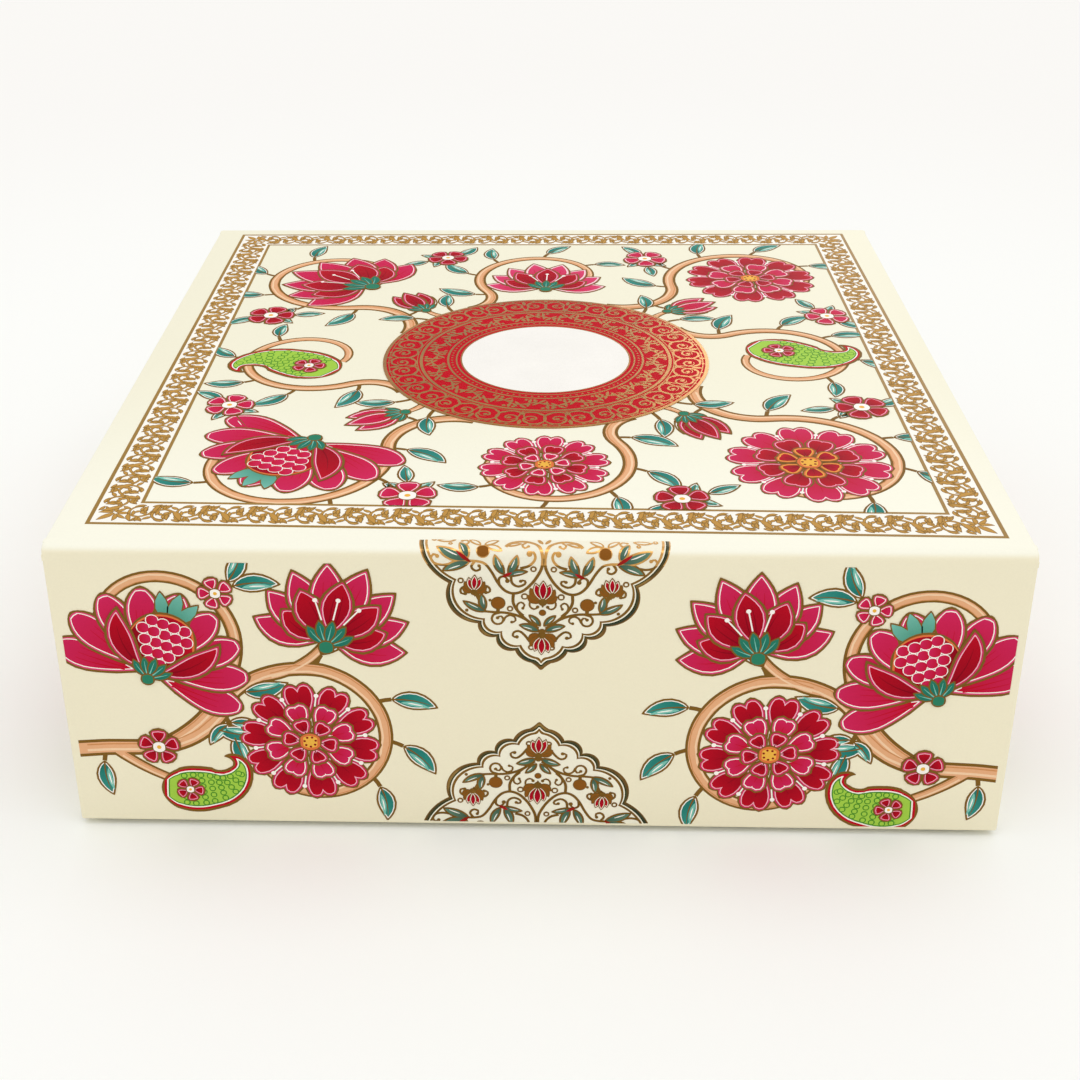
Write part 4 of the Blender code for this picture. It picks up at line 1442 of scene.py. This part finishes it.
# %% The medallion's ornament
# Each wire is the radius of the ball at its end, its width, and places that it runs through.
WIRES = (
    (0, 0.72, (9.8, 37.2), (8.6, 38.8), (6.2, 39.7), (3.8, 39.4), (1.9, 38.2), (0.8, 36.6), (0.3, 34.2),
     (0.5, 31.6), (1.5, 29.2), (3.0, 26.8), (5.2, 24.6), (7.6, 23.8), (9.8, 24.6), (11.6, 26.8),
     (13.2, 29.9), (15.0, 32.4), (17.0, 33.1), (19.2, 33.2)),
    (0.75, 0.65, (6.0, 31.3), (3.9, 32.0), (2.5, 33.5), (2.2, 35.0), (2.9, 36.0), (3.7, 35.5)),
    (0.45, 0.6, (8.3, 29.0), (8.0, 26.9), (6.4, 25.9), (4.6, 26.8), (4.9, 27.8), (5.8, 27.5)),
    (0.6, 0.6, (11.3, 26.4), (11.4, 28.1), (10.3, 28.9), (9.4, 28.3), (9.2, 27.5)),
    (0.45, 0.5, (0.5, 21.2), (1.4, 22.1), (2.6, 22.0), (3.4, 21.0), (3.1, 19.7), (2.0, 19.2), (1.3, 19.9)),
    (0.4, 0.5, (4.9, 17.2), (6.4, 18.8), (6.6, 20.3), (5.7, 21.2), (4.7, 20.5), (5.1, 19.4)),
    (0, 0.68, (7.6, 23.9), (7.6, 21.0), (6.3, 18.4), (4.0, 15.9), (0.9, 13.4)),
    (0, 0.68, (2.4, 14.4), (4.2, 16.0), (6.6, 17.2), (9.4, 17.9), (12.4, 18.0), (15.2, 18.2)),
    (0.5, 0.6, (2.4, 8.6), (3.3, 9.5), (4.4, 11.1), (5.9, 12.4), (7.3, 12.0), (7.5, 10.7), (6.5, 10.6)),
    (0, 0.9, (11.5, 19.6), (11.5, 17.8)),
    (0.45, 0.55, (11.0, 17.9), (12.6, 17.3), (13.1, 15.8), (12.2, 14.5), (10.7, 14.6), (10.1, 15.9),
     (10.8, 16.9), (11.6, 16.3)),
    (0.4, 0.5, (10.1, 15.3), (9.5, 16.6), (8.3, 17.2), (7.1, 16.6), (7.0, 15.4), (7.9, 15.1)),
    (0, 0.85, (15.2, 18.6), (16.3, 21.5), (17.6, 24.0)),
    (0.5, 0.6, (17.3, 22.7), (18.4, 24.9), (19.9, 25.6), (21.2, 24.7), (21.0, 23.4), (20.0, 23.4)),
    (0.5, 0.6, (16.9, 22.4), (16.1, 24.9), (14.9, 25.9), (13.7, 25.1), (13.8, 24.0), (14.7, 23.9)),
    (0.45, 0.6, (17.6, 33.1), (18.5, 31.5), (17.5, 30.3), (16.2, 30.8), (16.5, 31.8)),
    (0.5, 0.6, (21.0, 33.0), (24.1, 32.1), (26.2, 31.8), (28.1, 32.4), (28.8, 33.8), (28.1, 34.8),
     (27.2, 34.3)),
    (0.4, 0.5, (20.4, 37.4), (19.3, 38.9), (20.0, 40.0), (21.1, 39.6)),
    (0.4, 0.5, (4.6, 39.2), (5.6, 37.9), (4.9, 36.9), (4.0, 37.5)),
)
# Each leaf is its foot, its tip, its width and the bend of its line.
LEAVES = (
    (9.1, 29.3, 6.8, 35.2, 2.4, -24), (10.0, 29.3, 12.6, 35.2, 2.3, 24), (9.8, 29.0, 3.9, 30.4, 1.9, 22),
    (0.4, 14.0, 3.6, 17.5, 1.8, -20), (0.6, 12.4, 6.1, 14.3, 2.2, -24), (14.4, 18.2, 20.7, 21.3, 2.1, 24),
    (15.0, 18.4, 15.9, 23.6, 2.2, 10), (19.0, 33.4, 27.6, 36.9, 2.9, 20), (18.8, 33.0, 26.0, 30.1, 2.7, -16),
    (19.4, 33.9, 21.7, 38.9, 2.4, -16),
)
PALE_LEAVES = (
    (14.9, 37.3, 10.6, 36.0, 1.7, 24), (15.2, 37.6, 11.6, 40.0, 1.8, 20), (16.2, 37.6, 19.3, 40.2, 1.7, -20),
    (22.6, 40.2, 27.6, 39.8, 1.6, 24), (0.3, 38.6, 1.7, 40.9, 0.9, 10), (9.4, 37.4, 5.6, 38.6, 1.3, 20),
)
# Each ring is its centre and radius, and each sepal is its foot, heading, length and width.
RINGS = (
    (2.6, 31.2, 0.85), (21.2, 27.3, 0.85), (8.4, 19.2, 0.85), (2.7, 7.5, 0.85), (4.7, 23.0, 0.95),
    (28.3, 40.2, 0.7), (12.2, 31.8, 0.5), (24.0, 38.2, 0.6), (19.6, 18.4, 0.45), (13.6, 21.6, 0.4),
)
SEPALS = ((10.6, 28.6, 150, 3.0, 0.9), (18.6, 32.8, 38, 5.0, 1.0), (1.0, 12.2, 150, 1.6, 0.8))


def through(*places):
    """A smooth line through the places. Between two of them it is a cubic that their neighbours lead."""
    places = [complex(*place) for place in places]
    ends, points = [2 * places[0] - places[1], *places, 2 * places[-1] - places[-2]], []
    for a, b, c, d in zip(ends, ends[1:], ends[2:], ends[3:]):
        first, second, third = c - a, 2 * a - 5 * b + 4 * c - d, 3 * (b - c) - a + d
        points += [b + (first * t + second * t**2 + third * t**3) / 2 for t in (k / 6 for k in range(6))]
    return Line([*points, places[-1]])


def small_leaf(gold_art, ink_art, x, y, to_x, to_y, width, bend, tints=()):
    """A leaf with a broad gold outline. Without tints it is green, with a white streak on its lit side."""
    at, tip = complex(x, y), complex(to_x, to_y)
    line = arc_to(at, tip, facing(tip - at) + bend / 2)
    gold_art.lay(line, width * 1.12, 8, (0, GOLD), half=oval, steps=12)
    ink_art.lay(line, width * 1.12, 9, (0.54, *(tints or (MOSS_DARK, MOSS))), half=oval, steps=12)
    if not tints:
        side = math.copysign(width * 0.13, bend)
        ink_art.lay(line.aside(side).part(0.34, 0.82), width * 0.12, 9.6, (0, WHITE), half=almond, steps=5)


def small_lotus(gold_art, ink_art, at, turn, size):
    """A brown lotus with a red heart and red near petals, edged with a pale line."""
    for k, spread in enumerate((-84, 84, -52, 52, -26, 26, 0)):
        line = walk(at, turn + spread, (size * (0.62 + 0.055 * k), -spread * 0.5))
        inks = ((0.3, UMBER),) if k < 4 else ((0.28, CREAM), (0.48, DEEP, CRIMSON))
        gold_art.lay(line, size * 0.38, 8 + 0.6 * k, (0, GOLD), half=pointed, steps=8)
        ink_art.lay(line, size * 0.38, 8.3 + 0.6 * k, *inks, half=pointed, steps=8)
    gold_art.dot(at, size * 0.16, 12.6, (0, GOLD), steps=8)


def fruit(gold_art, ink_art, at, radius):
    gold_art.dot(at, radius, 8.2, (0, GOLD), steps=12)
    ink_art.dot(at, radius, 8.8, (0.3, UMBER), steps=12)


def medallion_lines():
    """Stems, curls, leaves, fruits and rings of the right half. The maps draw the left half too."""
    gold_art, ink_art = Print(*medallion_maps(True)), Print(*medallion_maps(True))
    for ball, width, *places in WIRES:
        line = through(*places)
        steps = max(4, round(line.length / 0.6))
        gold_art.lay(line, width * 1.2, 7, (0, GOLD), half=lambda s: 1 - 0.2 * s, steps=steps)
        if ball:
            gold_art.dot(line.points[-1], ball, 7.4, (0, GOLD), steps=8)
    for leaf_places in LEAVES:
        small_leaf(gold_art, ink_art, *leaf_places)
    for leaf_places in PALE_LEAVES:
        small_leaf(gold_art, ink_art, *leaf_places, (CREAM, CREAM))
    for x, y, turn, size, width in SEPALS:
        line = walk(complex(x, y), turn, (size, 0))
        ink_art.lay(line, width, 10.6, (0, EMBER, CRIMSON), half=almond, steps=6)
    small_lotus(gold_art, ink_art, complex(17.8, 23.9), 92, 5.6)
    fruit(gold_art, ink_art, complex(11.5, 20.8), 1.9)
    fruit(gold_art, ink_art, complex(15.6, 35.9), 1.75)
    for x, y, radius in RINGS:
        gold_art.dot(complex(x, y), radius, 8.2, (0, GOLD), steps=10)
        ink_art.dot(complex(x, y), radius, 8.8, (0.48, CREAM), steps=8)
    return gold_art, ink_art


def medallion_axis(gold_art, ink_art):
    small_lotus(gold_art, ink_art, complex(0, 21.4), 90, 6.9)
    small_lotus(gold_art, ink_art, complex(0, 11.4), -90, 6.6)
    gold_art.lay(walk(complex(0, 22.4), -90, (2.6, 0)), 1.2, 13, (0, GOLD), half=almond, steps=6)
    fruit(gold_art, ink_art, complex(0, 18.2), 0.95)
    gold_art.dot(complex(0, 12.4), 0.9, 13, (0, GOLD), steps=10)


# %% The medallions' layers
BAND_SHADE, MEDALLION_GROUND = colour("26361F"), colour("F4F0DC")


def medallion_layers():
    """Prints by material: lines and ornament in foil, the streaked band, and the coloured inks."""
    gold_art, ink_art = medallion_lines()
    band = Print(*medallion_maps(True))
    axis_gold, axis_ink = (Print(*medallion_maps(False)) for _ in range(2))
    medallion_axis(axis_gold, axis_ink)
    for art, shrink, level, tint in (
        (gold_art, 0.0, 1.0, GOLD), (band, 0.3, 1.6, GOLD), (ink_art, 0.85, 2.2, BAND_SHADE),
        (ink_art, 1.15, 2.8, CREAM), (gold_art, 1.5, 3.4, GOLD), (ink_art, 2.15, 4.0, MEDALLION_GROUND),
    ):
        medallion_fill(art, shrink, level, tint)
    gold_art.include(axis_gold)
    ink_art.include(axis_ink)
    return (("gold", gold_art, SHADED_COPY_FOIL), ("inks", ink_art, INK), ("band", band, STREAKED))


# Strips without print along the papers' edges.
EDGE, MARGIN = 2.2, 2.4
FLAP_LINE = FLAP_HIGH.z / MM
FOLD_END = (TOP + (math.pi / 2 - 1) * FRONT_ROUND) / MM
PRINT_END = FOLD_END + 2.5


def put_medallions():
    """The part on the flap, and the part on the fold, which is cut so that it can bend.

    Its gold on the fold is a lighter copy of the foil, a painted highlight for the light the fold catches.
    """
    on_flap = box_clip(-HALF, HALF, EDGE, FLAP_LINE)
    on_fold = box_clip(-HALF, HALF, FLAP_LINE, PRINT_END)
    bends = [FOLD_END - FRONT_ROUND / MM * math.pi / 2 * k / ROUND_STEPS for k in range(ROUND_STEPS + 1)]
    for kind, art, material in medallion_layers():
        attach(art.raise_on("flap_medallion_" + kind, on_front, material, on_flap), "flap")
    for kind, art, material in medallion_layers():
        material = LIT_COPY_FOIL if kind == "gold" else material
        upper = art.raise_on("fold_medallion_" + kind, on_front, material, on_fold, bends)
        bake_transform(upper)


put_medallions()

# %% [markdown]
# The flap's flowers. The two halves mirror each other round the medallions, as block printers lay them.
# A stem enters from each side and divides to a pomegranate, a lotus, a rosette and a mango.

# %% The flap's flowers


def side_spray(art):
    """The spray of one half. It fills a strip from 36 to 125 mm across and 85 mm high."""
    upper, lower = complex(102, 60), complex(62, 27)
    trunk = walk(complex(129, 22), 172, (22, 8), (18, -42), (15, -30))
    around = arc_to(trunk.points[-1], lower + way(100, 23.5), 190)
    trunk = trunk.join(around).join(curl(lower, around.points[-1], 15, 230))
    vine(art, trunk, 5.6)
    fork = trunk.at(0.16)[0]
    rise = arc_to(fork, upper + way(200, 22), 102)
    vine(art, rise.join(curl(upper, rise.points[-1], 11, -290)), 4.8)
    lift = arc_to(trunk.at(0.40)[0], complex(56, 60), 120)
    vine(art, lift, 3.8, 0.8)
    drop = arc_to(trunk.at(0.08)[0], complex(98, 12), 200)
    vine(art, drop, 3.6, 0.8)
    rosette(art, lower, 8, 19.5)
    pomegranate(art, complex(104, 48), 112, 27)
    lotus(art, complex(56, 60), 104, 25, PINK_TINTS)
    mango_leaf(art, complex(104, 10), 186, 25, -1)
    blossom(art, fork, 20, 6.2)
    leaves(art, trunk, (0.5, 13, -1), (0.62, 13, -1), (0.7, 13, -1), (0.78, 12, -1))
    leaves(art, rise, (0.4, 13, 1), (0.75, 13, 1))
    trefoil(art, trunk.at(0.3)[0], 250, 12)
    stalked_leaf(art, trunk.at(0.07)[0], 262, 12, -30)
    node = upper + way(142, 21.6)
    stalked_leaf(art, node, 176, 13, 30)
    stalked_leaf(art, node, 112, 12, -30)
    blossom(art, node, 0, 5.2, PINK_TINTS)


flap_art = Print(hung, lambda p: hung(-p.conjugate()))
side_spray(flap_art)
clip = box_clip(MARGIN - HALF, HALF - MARGIN, EDGE, FLAP_LINE)
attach(flap_art.raise_on("flap_flowers", on_front, INK, clip), "flap")

# %% [markdown]
# The other sides. The photograph shows only the lid and the flap, so the tray's two sides and the back
# repeat the flap's spray, with a rosette in the middle. The tray's front, behind the flap, stays plain.

# %% The sides and the back


def side_flowers():
    art, centre = Print(lambda p: p, lambda p: -p.conjugate()), Print()
    side_spray(art)
    rosette(centre, complex(0, 44), 0, 24)
    for turn in (0, 180):
        for spread in (-40, 40, 0):
            frond(centre, complex(0, 44), turn + spread, 36 - abs(spread) * 0.15, spread * 0.5, 3)
    art.include(centre)
    return art


CORNER_MARGIN, RIM_MARGIN, THIN_MARGIN = 1.5, 1.2, 1.0
side = TRAY_HIGH.y / MM - CORNER_MARGIN, TRAY_LOW.z / MM + THIN_MARGIN, TRAY_HIGH.z / MM - RIM_MARGIN
back = HALF - MARGIN, SPINE_LOW.z / MM + THIN_MARGIN, SPINE_HIGH.z / MM - THIN_MARGIN
for name, place, (reach, low, high) in (
    ("side_flowers_right", on_right, side), ("side_flowers_left", on_left, side),
    ("back_flowers", on_back, back),
):
    piece = side_flowers().raise_on(name, place, INK, box_clip(-reach, reach, low, high))
    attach(piece, "base")
